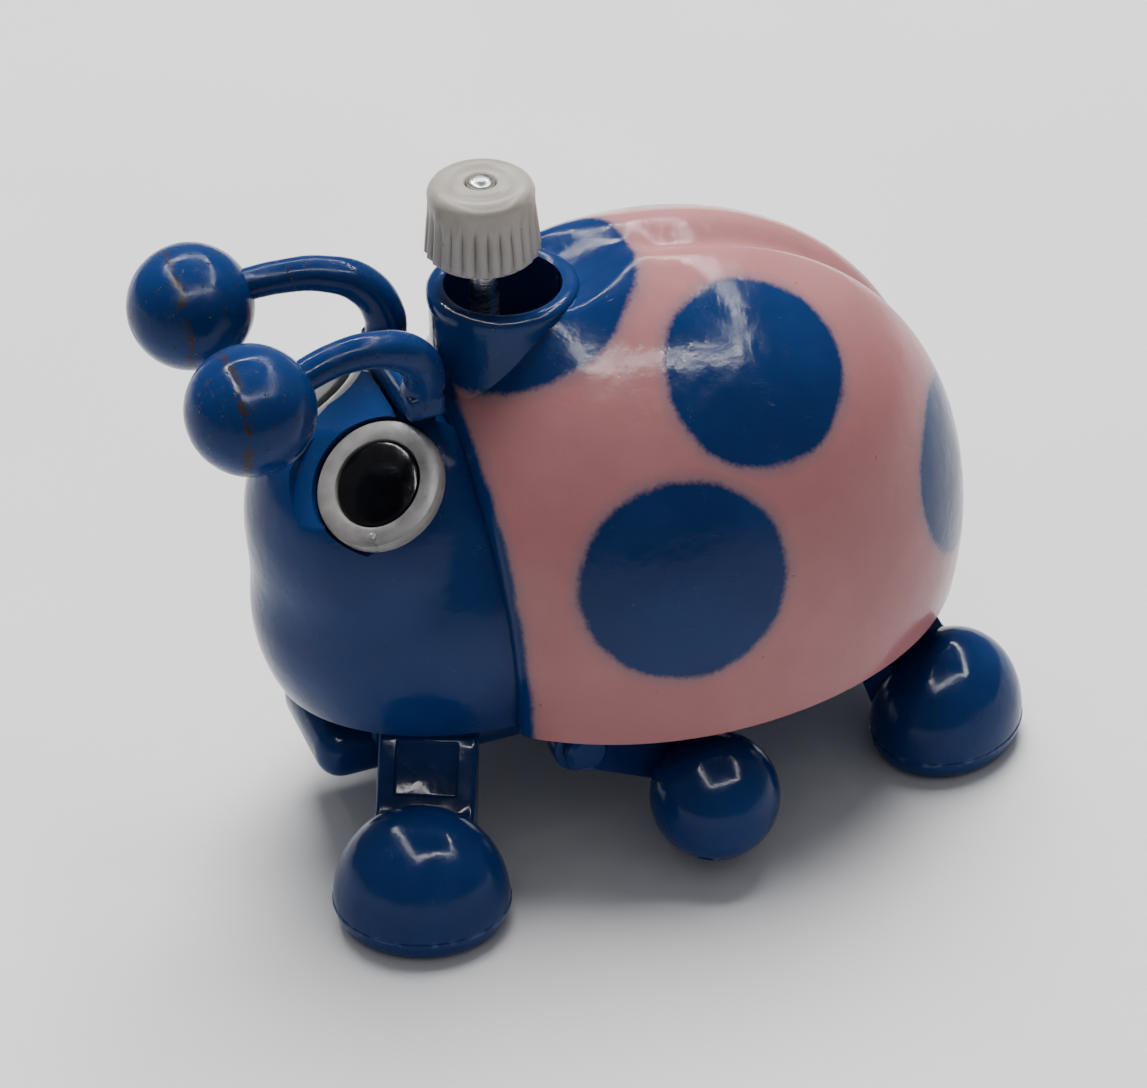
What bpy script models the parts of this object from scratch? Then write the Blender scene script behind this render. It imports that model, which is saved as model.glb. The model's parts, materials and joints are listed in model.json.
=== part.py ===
"""A clockwork walking ladybug toy, modelled as an assembly of its separate pieces.

The design frame has +Z up with the floor at z = 0. The toy faces -Y and its left side is +X.
Sizes below are millimetres; every mesh is scaled to metres when its object is made.
"""
import math

import bmesh
import bpy
from mathutils import Matrix, Vector

MM = 0.001
GAP = 0.3                              # clearance between neighbouring pieces
LEFT, RIGHT = 1, -1

# carapace: one moulding of a shell dome and a head, cut level at its rim
WALL = 1.6
CROWN_WALL = 2.9                       # added under the head's crown, where eyes and feelers seat
SHELL_CENTRE = (0.0, 5.4, 17.0)
SHELL_AXES = (18.3, 24.2, 26.4)
SHELL_FRONT_AXIS = 22.5                # the dome is shorter ahead of its centre
SHELL_CROWN_DROP = 1.4                 # extra wall under the dividing groove
HEAD_HEART = (0.0, -13.0, 19.0)        # the head is a smooth union of two ellipsoids about it
HEAD_ELLIPSOIDS = (((0.0, -9.5, 17.5), (12.3, 16.4, 14.5)),
                   ((0.0, -16.5, 25.5), (9.6, 9.3, 10.4)))
HEAD_BLEND = 16
CROWN_EDGE = (0.0, -15.5, 35.5)        # the flat between the eyes falls forward from here
CROWN_TILT = math.radians(23.0)
RIM_Z = 11.8
SEAM_POINT = (0.0, -10.2, 12.0)        # the shell's front edge leans forward towards its top
SEAM_LEAN = math.radians(3.0)
GROOVE_DEPTH = 1.5                     # between the two wing cases
GROOVE_WIDTH = 1.7
GROOVE_START_Y = 0.0

# winding knob and the collar it stands in
ARBOR_XY = (0.0, -7.5)
COLLAR_XY = (0.0, -6.1)
COLLAR_BORE_R = 4.2
COLLAR_R = 5.45
COLLAR_TOP_Z = 42.3
KNOB_BOTTOM_Z = 45.0
KNOB_TOP_Z = 50.7
KNOB_R = 4.15
KNOB_TOP_R = 4.0
KNOB_TAPER = 0.94
KNOB_RIBS = 26

# eyes: flat discs let into the head
EYE_CENTRE = Vector((6.3, -18.1, 32.3))
EYE_NORMAL = Vector((0.345, -0.526, 0.778)).normalized()
EYE_R = 4.72
PUPIL_R = 3.1
EYE_THICKNESS = 1.3

# antennae: one moulding with two arched arms
FEELER_BALL = Vector((7.0, -26.9, 41.2))
FEELER_BALL_R = 4.55
FEELER_PATH = ((3.7, -13.75, 37.1), (4.2, -13.6, 38.9), (4.8, -14.9, 41.3), (5.3, -17.6, 42.6),
               (5.8, -20.6, 42.8), (6.6, -24.0, 42.2))
FEELER_RADII = (1.3, 1.3, 1.25, 1.2, 1.2, 1.2)
NOTCH_Y = (-15.5, -11.4)               # the seat across the top of the head
NOTCH_HALF_WIDTH, NOTCH_Z = 5.6, 35.45
TONGUE_HALF_WIDTH, TONGUE_Z = 3.4, 33.0
SADDLE_TOP_Z = 37.6

# front legs: one bar on a pivot screw, shown with its left foot swung forward
FRONT_PIVOT = (0.0, -11.74)
FRONT_REACH = 17.24                    # from the pivot out to each foot's centre
FRONT_SWING = math.radians(26.0)
FRONT_HUB_R = 3.6
HUB_Z = (9.85, 11.35)

# rear legs: screwed to the chassis; foot centre on the floor, turn of its long axis from +Y
REAR_FOOT = (11.5, 24.9)
REAR_TURN = math.radians(26.0)
REAR_TAB = 3.2                         # the screwed tab inboard of the strut
REAR_SCREW_REACH = 9.75                # from the foot's centre in to its screw

# the foot and strut that front and rear legs share
FOOT_LONG, FOOT_SHORT, FOOT_HEIGHT = 6.6, 5.5, 9.3
STRUT_WIDTH, STRUT_THICKNESS = 7.2, 2.4
STRUT_REACH = 7.8                      # from the foot's centre in to the top of the strut
STRUT_Z = (9.9, 11.3)
SCREW_R, SCREW_HOLE_R, SCREW_SIDE_R = 0.9, 1.3, 1.9
LEG_SCREW_Z, LEG_SCREW_LENGTH = 11.6, 5.0

# middle legs: rocking levers on pins in the chassis
MIDDLE_BALL = Vector((17.1, 3.1, 5.45))
MIDDLE_BALL_R = 4.85
ROCK_YZ = (-5.5, 9.6)                  # the lever's pivot
LEVER_X = (11.2, 12.9)
LEG_PIN_R = 0.9

# chassis
PLATE_Z = (8.0, 9.6)
PLATE_OUTLINE = ((5.1, -19.2), (8.1, -12.6), (8.3, 9.5), (4.6, 17.2), (2.5, 21.6), (1.2, 23.0),
                 (1.2, 25.0))
NOSE_LOW = (-5.4, -23.2, 5.0)
NOSE_HIGH = (5.4, -15.0, 9.5)
SHELL_SCREW_Y = (-19.6, 26.0)
SCREW_SEAT_Z = 8.4                     # the counterbore in the nose
SHELL_SCREW_LENGTH = 7.0

# clockwork: every arbor stands on the centre plane x = 0
LOWER_PLATE_Z = (17.0, 18.2)
UPPER_PLATE_Z = (26.9, 27.7)
MOTOR_OUTLINE = ((3.6, -14.4), (6.0, -13.3), (7.6, -9.0), (7.8, 13.6), (6.4, 15.2))
PILLARS = ((5.25, -13.0), (6.5, 13.6))
MODULE = 0.35
GREAT_TEETH, SECOND_PINION_TEETH = 36, 12
SECOND_WHEEL_TEETH, ESCAPE_PINION_TEETH = 30, 10
CROWN_MODULE = 0.4
CROWN_TEETH, AXLE_PINION_TEETH = 24, 10
ARBOR_R = 0.75
AXLE_R = 0.6
SECOND_Y = ARBOR_XY[1] + MODULE * (GREAT_TEETH + SECOND_PINION_TEETH) / 2
ESCAPE_Y = SECOND_Y + MODULE * (SECOND_WHEEL_TEETH + ESCAPE_PINION_TEETH) / 2
AXLE_Z = 12.0
CROWN_R = 5.6
CRANK_THROW = 0.85
CRANK_X = (9.4, 10.1)
PALLET_Y = ESCAPE_Y + 5.2

BLUE = (0.016, 0.055, 0.19)
PINK = (0.42, 0.22, 0.23)
WHITE = (0.55, 0.53, 0.50)
BLACK = (0.01, 0.01, 0.012)
NYLON = (0.62, 0.60, 0.54)
STEEL = (0.55, 0.56, 0.58)
BRASS = (0.62, 0.45, 0.20)
IVORY = (0.60, 0.57, 0.48)


# ---------------------------------------------------------------- helpers

def clear_scene():
    for obj in list(bpy.data.objects):
        bpy.data.objects.remove(obj, do_unlink=True)


def make_collection(name):
    collection = bpy.data.collections.new(name)
    bpy.context.scene.collection.children.link(collection)
    return collection


def material(name, colour, roughness, metallic=0.0):
    found = bpy.data.materials.get(name)
    if found:
        return found
    made = bpy.data.materials.new(name)
    made.use_nodes = True
    shader = made.node_tree.nodes["Principled BSDF"]
    shader.inputs["Base Color"].default_value = (*colour, 1.0)
    shader.inputs["Roughness"].default_value = roughness
    shader.inputs["Metallic"].default_value = metallic
    made.diffuse_color = (*colour, 1.0)
    return made


def make_object(name, bm, collection, origin):
    """Turn a bmesh drawn in millimetres into an object whose origin is the given point."""
    origin = Vector(origin)
    bmesh.ops.translate(bm, verts=bm.verts, vec=-origin)
    bmesh.ops.scale(bm, verts=bm.verts, vec=(MM, MM, MM))
    bmesh.ops.recalc_face_normals(bm, faces=bm.faces)
    mesh = bpy.data.meshes.new(name)
    bm.to_mesh(mesh)
    bm.free()
    mesh.shade_smooth()
    mesh.set_sharp_from_angle(angle=math.radians(35))
    obj = bpy.data.objects.new(name, mesh)
    obj.location = origin * MM
    collection.objects.link(obj)
    return obj


def part(name, bm, finish, origin=(0.0, 0.0, 0.0)):
    obj = make_object(name, bm, PARTS, origin)
    obj.data.materials.append(finish)
    return obj


def combine(obj, bm, operation):
    """Cut a bmesh from an object, or join it on, with a Boolean that stays on the object."""
    tool = make_object(f"{obj.name}_tool_{len(obj.modifiers)}", bm, CUTTERS, (0.0, 0.0, 0.0))
    tool.hide_render = True
    tool.display_type = "WIRE"
    modifier = obj.modifiers.new(operation.title(), "BOOLEAN")
    modifier.operation = operation
    modifier.solver = "EXACT"
    modifier.object = tool


def cut(obj, bm):
    combine(obj, bm, "DIFFERENCE")


def join(obj, bm):
    combine(obj, bm, "UNION")


def cylinder(radius, start, end, segments=24, end_radius=None):
    start, end = Vector(start), Vector(end)
    axis = end - start
    bm = bmesh.new()
    turn = Vector((0, 0, 1)).rotation_difference(axis).to_matrix().to_4x4()
    bmesh.ops.create_cone(bm, cap_ends=True, segments=segments, radius1=radius,
                          radius2=radius if end_radius is None else end_radius,
                          depth=axis.length,
                          matrix=Matrix.Translation((start + end) / 2) @ turn)
    return bm


def box(low, high, bevel=0.0, segments=2):
    low, high = Vector(low), Vector(high)
    bm = bmesh.new()
    bmesh.ops.create_cube(bm, size=1.0)
    bmesh.ops.scale(bm, verts=bm.verts, vec=high - low)
    bmesh.ops.translate(bm, verts=bm.verts, vec=(low + high) / 2)
    if bevel:
        bmesh.ops.bevel(bm, geom=bm.edges[:], offset=bevel, segments=segments, profile=0.5,
                        affect="EDGES")
    return bm


def ellipsoid(centre, semi_axes, around=24, along=14):
    bm = bmesh.new()
    bmesh.ops.create_uvsphere(bm, u_segments=around, v_segments=along, radius=1.0)
    bmesh.ops.scale(bm, verts=bm.verts, vec=semi_axes)
    bmesh.ops.translate(bm, verts=bm.verts, vec=centre)
    return bm


def turned(profile, segments=24):
    """Spin an (r, z) profile, listed from the axis round to the axis again, about Z."""
    bm = bmesh.new()
    points = [bm.verts.new((radius, 0.0, height)) for radius, height in profile]
    edges = [bm.edges.new(pair) for pair in zip(points, points[1:])]
    bmesh.ops.spin(bm, geom=points + edges, cent=(0, 0, 0), axis=(0, 0, 1),
                   angle=math.tau, steps=segments, use_merge=True)
    bmesh.ops.remove_doubles(bm, verts=bm.verts, dist=0.0001)
    return bm


def prism(outline, low, high):
    """A flat outline in x and y, raised from z = low to z = high."""
    bm = bmesh.new()
    face = bm.faces.new([bm.verts.new((x, y, low)) for x, y in outline])
    raised = bmesh.ops.extrude_face_region(bm, geom=[face])
    top = [item for item in raised["geom"] if isinstance(item, bmesh.types.BMVert)]
    bmesh.ops.translate(bm, verts=top, vec=(0, 0, high - low))
    return bm


def moved(bm, matrix):
    bmesh.ops.transform(bm, matrix=matrix, verts=bm.verts)
    return bm


def mirrored(bm, side):
    """The same shape on the left (+X) or right (-X) side."""
    if side == RIGHT:
        bmesh.ops.scale(bm, verts=bm.verts, vec=(-1, 1, 1))
        bmesh.ops.reverse_faces(bm, faces=bm.faces)
    return bm


def on_side(point, side):
    return Vector((point[0] * side, point[1], point[2]))


# ---------------------------------------------------------------- carapace

def groove(x, y, z):
    """How far the dividing groove between the wing cases lowers the shell."""
    fade_in = min(1.0, max(0.0, (y - GROOVE_START_Y) / 5.0))
    fade_out = min(1.0, max(0.0, (z - RIM_Z) / 6.0))
    return GROOVE_DEPTH * fade_in * fade_out * math.exp(-((x / GROOVE_WIDTH) ** 2))


def shell_dome(around, along, wall=0.0, drop=0.0):
    """An ellipsoid with its poles fore and aft and more meridians near the groove."""
    bm = bmesh.new()
    bmesh.ops.create_uvsphere(bm, u_segments=around, v_segments=along, radius=1.0)
    cx, cy, cz = SHELL_CENTRE
    a, b, c = SHELL_AXES[0] - wall, SHELL_AXES[1] - wall, SHELL_AXES[2] - wall - drop
    for vert in bm.verts:
        angle = math.atan2(vert.co.x, vert.co.y)
        angle -= 0.6 * math.sin(angle)
        ring = math.hypot(vert.co.x, vert.co.y)
        reach = b if vert.co.z > 0 else SHELL_FRONT_AXIS - wall
        x, y, z = a * ring * math.sin(angle), cy + reach * vert.co.z, cz + c * ring * math.cos(angle)
        inward = Vector((x / a ** 2, (y - cy) / b ** 2, (z - cz) / c ** 2)).normalized()
        depth = 0.0 if wall else groove(x, y, z)
        vert.co = Vector((cx + x, y, z)) - inward * depth
    return bm


def open_front(bm):
    """Cut the dome off flat at its leaning front edge."""
    normal = Vector((0.0, -math.cos(SEAM_LEAN), -math.sin(SEAM_LEAN)))
    geometry = bm.verts[:] + bm.edges[:] + bm.faces[:]
    cut_edge = bmesh.ops.bisect_plane(bm, geom=geometry, plane_co=SEAM_POINT,
                                      plane_no=normal, clear_outer=True)["geom_cut"]
    edges = [item for item in cut_edge if isinstance(item, bmesh.types.BMEdge)]
    bmesh.ops.holes_fill(bm, edges=edges)
    return bm


def ray_to_ellipsoid(start, ray, centre, axes):
    """Distance from a point inside an ellipsoid to its surface along a unit ray."""
    scaled_start = [(s - c) / a for s, c, a in zip(start, centre, axes)]
    scaled_ray = [r / a for r, a in zip(ray, axes)]
    square = sum(r * r for r in scaled_ray)
    half = sum(s * r for s, r in zip(scaled_start, scaled_ray))
    rest = sum(s * s for s in scaled_start) - 1.0
    return (-half + math.sqrt(half * half - square * rest)) / square


def head_dome(around, along, wall=0.0):
    bm = bmesh.new()
    bmesh.ops.create_uvsphere(bm, u_segments=around, v_segments=along, radius=1.0)
    for vert in bm.verts:
        ray = vert.co.normalized()
        reach = [ray_to_ellipsoid(HEAD_HEART, ray, *shape) for shape in HEAD_ELLIPSOIDS]
        blended = sum(r ** HEAD_BLEND for r in reach) ** (1.0 / HEAD_BLEND)
        if wall:
            blended -= wall + CROWN_WALL * max(0.0, ray.z) ** 4
        vert.co = Vector(HEAD_HEART) + ray * blended
    return bm


def collar():
    """The raised ring round the knob hole, solid until it is bored."""
    top, outer = COLLAR_TOP_Z, COLLAR_R
    profile = [(0.0, top), (outer - 1.0, top), (outer - 0.35, top - 0.25),
               (outer, top - 0.9), (outer, 34.0), (0.0, 34.0)]
    return moved(turned(profile, 36), Matrix.Translation((*COLLAR_XY, 0)))


def eye_frame(side):
    """A matrix whose Z is the eye's outward normal, placed at the eye's centre."""
    normal = on_side(EYE_NORMAL, side)
    turn = Vector((0, 0, 1)).rotation_difference(normal).to_matrix().to_4x4()
    return Matrix.Translation(on_side(EYE_CENTRE, side)) @ turn


def seat_block(inset, reach_y, top):
    """A T-section block across the head: a wide saddle on a narrow tongue."""
    wide, narrow = NOTCH_HALF_WIDTH - inset, TONGUE_HALF_WIDTH - inset
    shoulder, low = NOTCH_Z + inset, TONGUE_Z + inset
    outline = [(-wide, top), (-wide, shoulder), (-narrow, shoulder), (-narrow, low),
               (narrow, low), (narrow, shoulder), (wide, shoulder), (wide, top)]
    bm = prism(outline, -reach_y[1], -reach_y[0])
    return moved(bm, Matrix.Rotation(math.pi / 2, 4, "X"))


def body_shell(finish):
    shell = part("body_shell", open_front(shell_dome(40, 22)), finish)
    join(shell, head_dome(32, 22))
    join(shell, collar())
    cut(shell, shell_dome(26, 14, WALL, SHELL_CROWN_DROP))
    cut(shell, head_dome(22, 14, WALL))
    cut(shell, cylinder(7.2, (0, -11.0, 5.0), (0, -11.0, UPPER_PLATE_Z[1] + 0.5), 26))
    cut(shell, box((-30, -40, -20), (30, 40, RIM_Z)))
    cut(shell, cylinder(COLLAR_BORE_R, (*COLLAR_XY, 30), (*COLLAR_XY, 50), 30))
    cut(shell, seat_block(0.0, NOTCH_Y, 41.0))
    crown = box((-12, -12, 0), (12, 0.8, 9))
    cut(shell, moved(crown, Matrix.Translation(CROWN_EDGE) @ Matrix.Rotation(CROWN_TILT, 4, "X")))
    for side in (LEFT, RIGHT):
        facet = cylinder(6.3, (0, 0, 0.2), (0, 0, 8), 26)
        cut(shell, moved(facet, eye_frame(side)))
        socket = cylinder(EYE_R + GAP, (0, 0, -EYE_THICKNESS - GAP), (0, 0, 3), 32)
        cut(shell, moved(socket, eye_frame(side)))
    for y, top in zip(SHELL_SCREW_Y, (31.4, 24.0)):
        join(shell, cylinder(1.9, (0, y, 10.2), (0, y, top), 16))
        cut(shell, cylinder(0.9 + GAP, (0, y, 9.0), (0, y, 18.0), 12))


def eyes(white, black):
    for side, name in ((LEFT, "left"), (RIGHT, "right")):
        frame = eye_frame(side)
        ring = turned([(0, 0), (EYE_R - 0.25, 0), (EYE_R, -0.25), (EYE_R, -EYE_THICKNESS),
                       (0, -EYE_THICKNESS)], 36)
        eye = part(f"{name}_eye_ring", moved(ring, frame), white)
        pocket = cylinder(PUPIL_R + GAP, (0, 0, -0.8), (0, 0, 1), 28)
        cut(eye, moved(pocket, frame))
        pupil = turned([(0, 0.05), (PUPIL_R - 0.3, 0.0), (PUPIL_R, -0.15), (PUPIL_R, -0.5),
                        (0, -0.5)], 28)
        part(f"{name}_pupil", moved(pupil, frame), black)


def tube(points, radii, sides=8):
    """A round bar through the points, as a closed mesh."""
    curve = bpy.data.curves.new("bar", "CURVE")
    curve.dimensions = "3D"
    curve.bevel_depth = MM
    curve.bevel_resolution = sides // 2 - 2
    curve.use_fill_caps = True
    curve.resolution_u = 2
    spline = curve.splines.new("BEZIER")
    spline.bezier_points.add(len(points) - 1)
    for knot, place, radius in zip(spline.bezier_points, points, radii):
        knot.co = Vector(place) * MM
        knot.radius = radius
        knot.handle_left_type = knot.handle_right_type = "AUTO"
    guide = bpy.data.objects.new("bar", curve)
    CUTTERS.objects.link(guide)
    depsgraph = bpy.context.evaluated_depsgraph_get()
    mesh = bpy.data.meshes.new_from_object(guide.evaluated_get(depsgraph))
    bm = bmesh.new()
    bm.from_mesh(mesh)
    bmesh.ops.remove_doubles(bm, verts=bm.verts, dist=0.000001)
    bmesh.ops.scale(bm, verts=bm.verts, vec=(1 / MM, 1 / MM, 1 / MM))
    bpy.data.objects.remove(guide, do_unlink=True)
    bpy.data.meshes.remove(mesh)
    return bm


def antennae(finish):
    saddle = seat_block(GAP, (NOTCH_Y[0] + GAP, NOTCH_Y[1] - 1.0), SADDLE_TOP_Z)
    base = part("antennae", saddle, finish)
    for side in (LEFT, RIGHT):
        join(base, mirrored(tube(FEELER_PATH, FEELER_RADII), side))
        join(base, mirrored(ellipsoid(FEELER_BALL, [FEELER_BALL_R] * 3, 18, 10), side))


# ---------------------------------------------------------------- legs and chassis

def foot_dome():
    """The foot about its own centre: a flat sole, a low widest line and a domed top."""
    sole, wide, belly = 0.81, 1.0, 1.9
    profile = [(0.0, 0.0), (sole, 0.0), (0.93, 0.5), (0.985, 1.1), (wide, belly)]
    steps = 6
    for i in range(1, steps + 1):
        angle = math.pi / 2 * i / steps
        profile.append((math.cos(angle), belly + (FOOT_HEIGHT - belly) * math.sin(angle)))
    bm = turned(profile, 22)
    bmesh.ops.scale(bm, verts=bm.verts, vec=(FOOT_SHORT, FOOT_LONG, 1.0))
    return bm


def strut(tab):
    """A slanted web from the tab (at -STRUT_REACH) out and down into the foot."""
    half = STRUT_THICKNESS / 2
    inner = -STRUT_REACH - tab
    low, high = STRUT_Z
    side_view = [(inner, low), (inner, high), (-STRUT_REACH, high), (-STRUT_REACH + half, high - 0.4),
                 (-2.2, 5.6), (-2.2, 2.6), (-4.6, 2.6), (-STRUT_REACH + 0.2, 7.8),
                 (-STRUT_REACH - 0.6, low - 0.5), (-STRUT_REACH - 1.0, low)]
    bm = prism(side_view, -STRUT_WIDTH / 2, STRUT_WIDTH / 2)
    return moved(bm, Matrix.Rotation(math.pi / 2, 4, "X"))


def front_legs(finish):
    """Both front legs and the hub they swing on, moulded as one bar."""
    legs = part("front_legs", cylinder(FRONT_HUB_R, (*FRONT_PIVOT, HUB_Z[0]),
                                       (*FRONT_PIVOT, HUB_Z[1]), 28),
                finish, (*FRONT_PIVOT, STRUT_Z[0]))
    for side, turn in ((LEFT, -FRONT_SWING), (RIGHT, 0.0)):
        arm = Matrix.Translation((*FRONT_PIVOT, 0)) @ Matrix.Rotation(turn, 4, "Z")
        frame = arm @ Matrix.Translation((FRONT_REACH, 0, 0))
        join(legs, mirrored(moved(strut(FRONT_REACH - STRUT_REACH - 0.5), frame), side))
        join(legs, mirrored(moved(foot_dome(), frame), side))
    cut(legs, cylinder(SCREW_HOLE_R, (*FRONT_PIVOT, 9), (*FRONT_PIVOT, 12), 16))


def rear_leg(side, word, finish):
    """One rear leg, cut off at the centre plane, with its screw; returns the screw's place."""
    frame = Matrix.Translation((*REAR_FOOT, 0)) @ Matrix.Rotation(REAR_TURN, 4, "Z")
    leg = part(f"rear_{word}_leg", mirrored(moved(foot_dome(), frame), side), finish)
    join(leg, mirrored(moved(strut(REAR_TAB), frame), side))
    hole = on_side(frame @ Vector((-REAR_SCREW_REACH, 0, 0)), side)
    cut(leg, cylinder(SCREW_HOLE_R, (hole.x, hole.y, 9), (hole.x, hole.y, 12), 14))
    beyond = box((-9, REAR_FOOT[1] - 12, -1), (GAP / 2, REAR_FOOT[1] + 12, 20))
    cut(leg, mirrored(beyond, side))
    return hole.x, hole.y


def screw(name, place, head_z, length, up, finish):
    """A pan-head screw; up is +1 where the head is on top and -1 where it is underneath."""
    profile = [(0, 0), (SCREW_R, 0), (SCREW_R, length), (SCREW_SIDE_R, length),
               (SCREW_SIDE_R, length + 0.5), (1.3, length + 1.0), (0, length + 1.0)]
    bm = turned(profile, 12)
    if up < 0:
        bmesh.ops.scale(bm, verts=bm.verts, vec=(1, 1, -1))
    slot_z = sorted((up * (length + 0.6), up * (length + 2.0)))
    slot = box((-1.4, -0.2, slot_z[0]), (1.4, 0.2, slot_z[1]))
    stand = Matrix.Translation((*place, head_z - up * length))
    obj = part(name, moved(bm, stand), finish)
    cut(obj, moved(slot, stand))


def legs_and_screws(blue, steel):
    """The screwed legs; returns where their screws enter the chassis."""
    front_legs(blue)
    screw("front_leg_pivot_screw", FRONT_PIVOT, LEG_SCREW_Z, LEG_SCREW_LENGTH, 1, steel)
    places = [FRONT_PIVOT]
    for side, word in ((LEFT, "left"), (RIGHT, "right")):
        place = rear_leg(side, word, blue)
        screw(f"rear_{word}_leg_screw", place, LEG_SCREW_Z, LEG_SCREW_LENGTH, 1, steel)
        places.append(place)
    return places


def chassis(finish, steel, leg_screws):
    """The flat floor of the toy with its nose, screw bosses and the middle legs' lugs."""
    outline = list(PLATE_OUTLINE) + [(-x, y) for x, y in reversed(PLATE_OUTLINE)]
    plate = part("chassis", prism(outline, *PLATE_Z), finish)
    join(plate, box(NOSE_LOW, NOSE_HIGH, 2.0, 3))
    front, rear = SHELL_SCREW_Y
    join(plate, cylinder(2.25, (0, rear, PLATE_Z[0]), (0, rear, PLATE_Z[1] - 0.05), 16))
    for x, y in leg_screws:
        join(plate, cylinder(1.55, (x, y, 5.6), (x, y, 8.6), 12))
        cut(plate, cylinder(SCREW_R + GAP, (x, y, 5.0), (x, y, 10.5), 10))
    for y in SHELL_SCREW_Y:
        cut(plate, cylinder(SCREW_R + GAP, (0, y, 4.0), (0, y, 12), 12))
    cut(plate, cylinder(2.3, (0, front, 4.0), (0, front, SCREW_SEAT_Z), 14))
    for side in (LEFT, RIGHT):
        y, z = ROCK_YZ
        lug = box((5.6, y - 2.2, 8.6), (8.9, y + 2.2, z + 2.2), 0.3, 1)
        join(plate, mirrored(lug, side))
        bore = cylinder(LEG_PIN_R + GAP, (5.0, y, z), (9.6, y, z), 16)
        cut(plate, mirrored(bore, side))
    screw("front_shell_screw", (0, front), SCREW_SEAT_Z - GAP, SHELL_SCREW_LENGTH, -1, steel)
    screw("rear_shell_screw", (0, rear), PLATE_Z[0] - GAP, SHELL_SCREW_LENGTH, -1, steel)


def middle_leg(name, side, finish):
    """A rocking lever with a slot for the crank pin and a ball foot on its outer face."""
    py, pz = ROCK_YZ
    by, bz = MIDDLE_BALL.y, MIDDLE_BALL.z
    x0, x1 = LEVER_X
    outline = [(py, pz, 2.3), (SECOND_Y, AXLE_Z, 2.9), (by, bz, 2.6)]
    leg = part(name, mirrored(cylinder(outline[0][2], (x0, py, pz), (x1, py, pz), 16), side),
               finish, on_side((0, py, pz), side))
    for (y0, z0, r0), (y1, z1, r1) in ((outline[0], outline[1]), (outline[0], outline[2]),
                                       (outline[1], outline[2])):
        join(leg, mirrored(link_plate((y0, z0), r0 - 0.5, (y1, z1), r1 - 0.5, x0, x1), side))
    slot = link_plate((SECOND_Y - 0.5, AXLE_Z), 1.5, (SECOND_Y + 0.5, AXLE_Z), 1.5, x0 - 1, x1 + 1)
    cut(leg, mirrored(slot, side))
    neck = cylinder(2.4, (x0 + 0.4, by, bz), (MIDDLE_BALL.x - 2.0, by, bz), 14)
    join(leg, mirrored(neck, side))
    join(leg, mirrored(ellipsoid(MIDDLE_BALL, [MIDDLE_BALL_R] * 3, 18, 11), side))
    cut(leg, mirrored(cylinder(LEG_PIN_R + GAP, (x0 - 1, py, pz), (x1 + 1, py, pz), 14), side))


def link_plate(start, start_r, end, end_r, x0, x1, steps=6):
    """A plate across x0 to x1 whose outline wraps two circles in the y-z plane."""
    (y0, z0), (y1, z1) = start, end
    length = math.hypot(y1 - y0, z1 - z0)
    heading = math.atan2(z1 - z0, y1 - y0)
    spread = math.acos((start_r - end_r) / length)
    outline = []
    for i in range(steps + 1):
        angle = heading - spread + 2 * spread * i / steps
        outline.append((y1 + end_r * math.cos(angle), z1 + end_r * math.sin(angle)))
    for i in range(steps + 1):
        angle = heading + spread + (math.tau - 2 * spread) * i / steps
        outline.append((y0 + start_r * math.cos(angle), z0 + start_r * math.sin(angle)))
    bm = prism(outline, x0, x1)
    return moved(bm, Matrix(((0, 0, 1, 0), (1, 0, 0, 0), (0, 1, 0, 0), (0, 0, 0, 1))))


def leg_pin(name, side, finish):
    y, z = ROCK_YZ
    bm = turned([(0, 5.9), (LEG_PIN_R, 5.9), (LEG_PIN_R, LEVER_X[1] + GAP),
                 (1.7, LEVER_X[1] + GAP), (1.7, LEVER_X[1] + 0.8), (1.3, LEVER_X[1] + 1.1),
                 (0, LEVER_X[1] + 1.1)], 20)
    turn = Matrix.Translation((0, y, z)) @ Matrix.Rotation(math.pi / 2, 4, "Y")
    part(name, mirrored(moved(bm, turn), side), finish)


# ---------------------------------------------------------------- clockwork

def gear_outline(teeth, module, centre, tooth_angle):
    """Trapezoid teeth; tooth_angle is the direction of the middle of one tooth."""
    pitch_r = module * teeth / 2
    tip, root = pitch_r + 0.8 * module, pitch_r - 1.1 * module
    step = math.tau / teeth
    corners = ((-0.27, root), (-0.13, tip), (0.13, tip), (0.27, root))
    return [(centre[0] + r * math.cos(tooth_angle + (i + f) * step),
             centre[1] + r * math.sin(tooth_angle + (i + f) * step))
            for i in range(teeth) for f, r in corners]


def gear(name, teeth, module, centre, low, high, tooth_angle, bore, finish):
    bm = prism(gear_outline(teeth, module, centre, tooth_angle), low, high)
    obj = part(name, bm, finish, (*centre, low))
    cut(obj, cylinder(bore, (*centre, low - 1), (*centre, high + 1), 16))
    return obj


def arbor(name, centre, low, high, radius, finish):
    bm = cylinder(radius, (*centre, low), (*centre, high), 16)
    part(name, bm, finish, (*centre, low))


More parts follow.
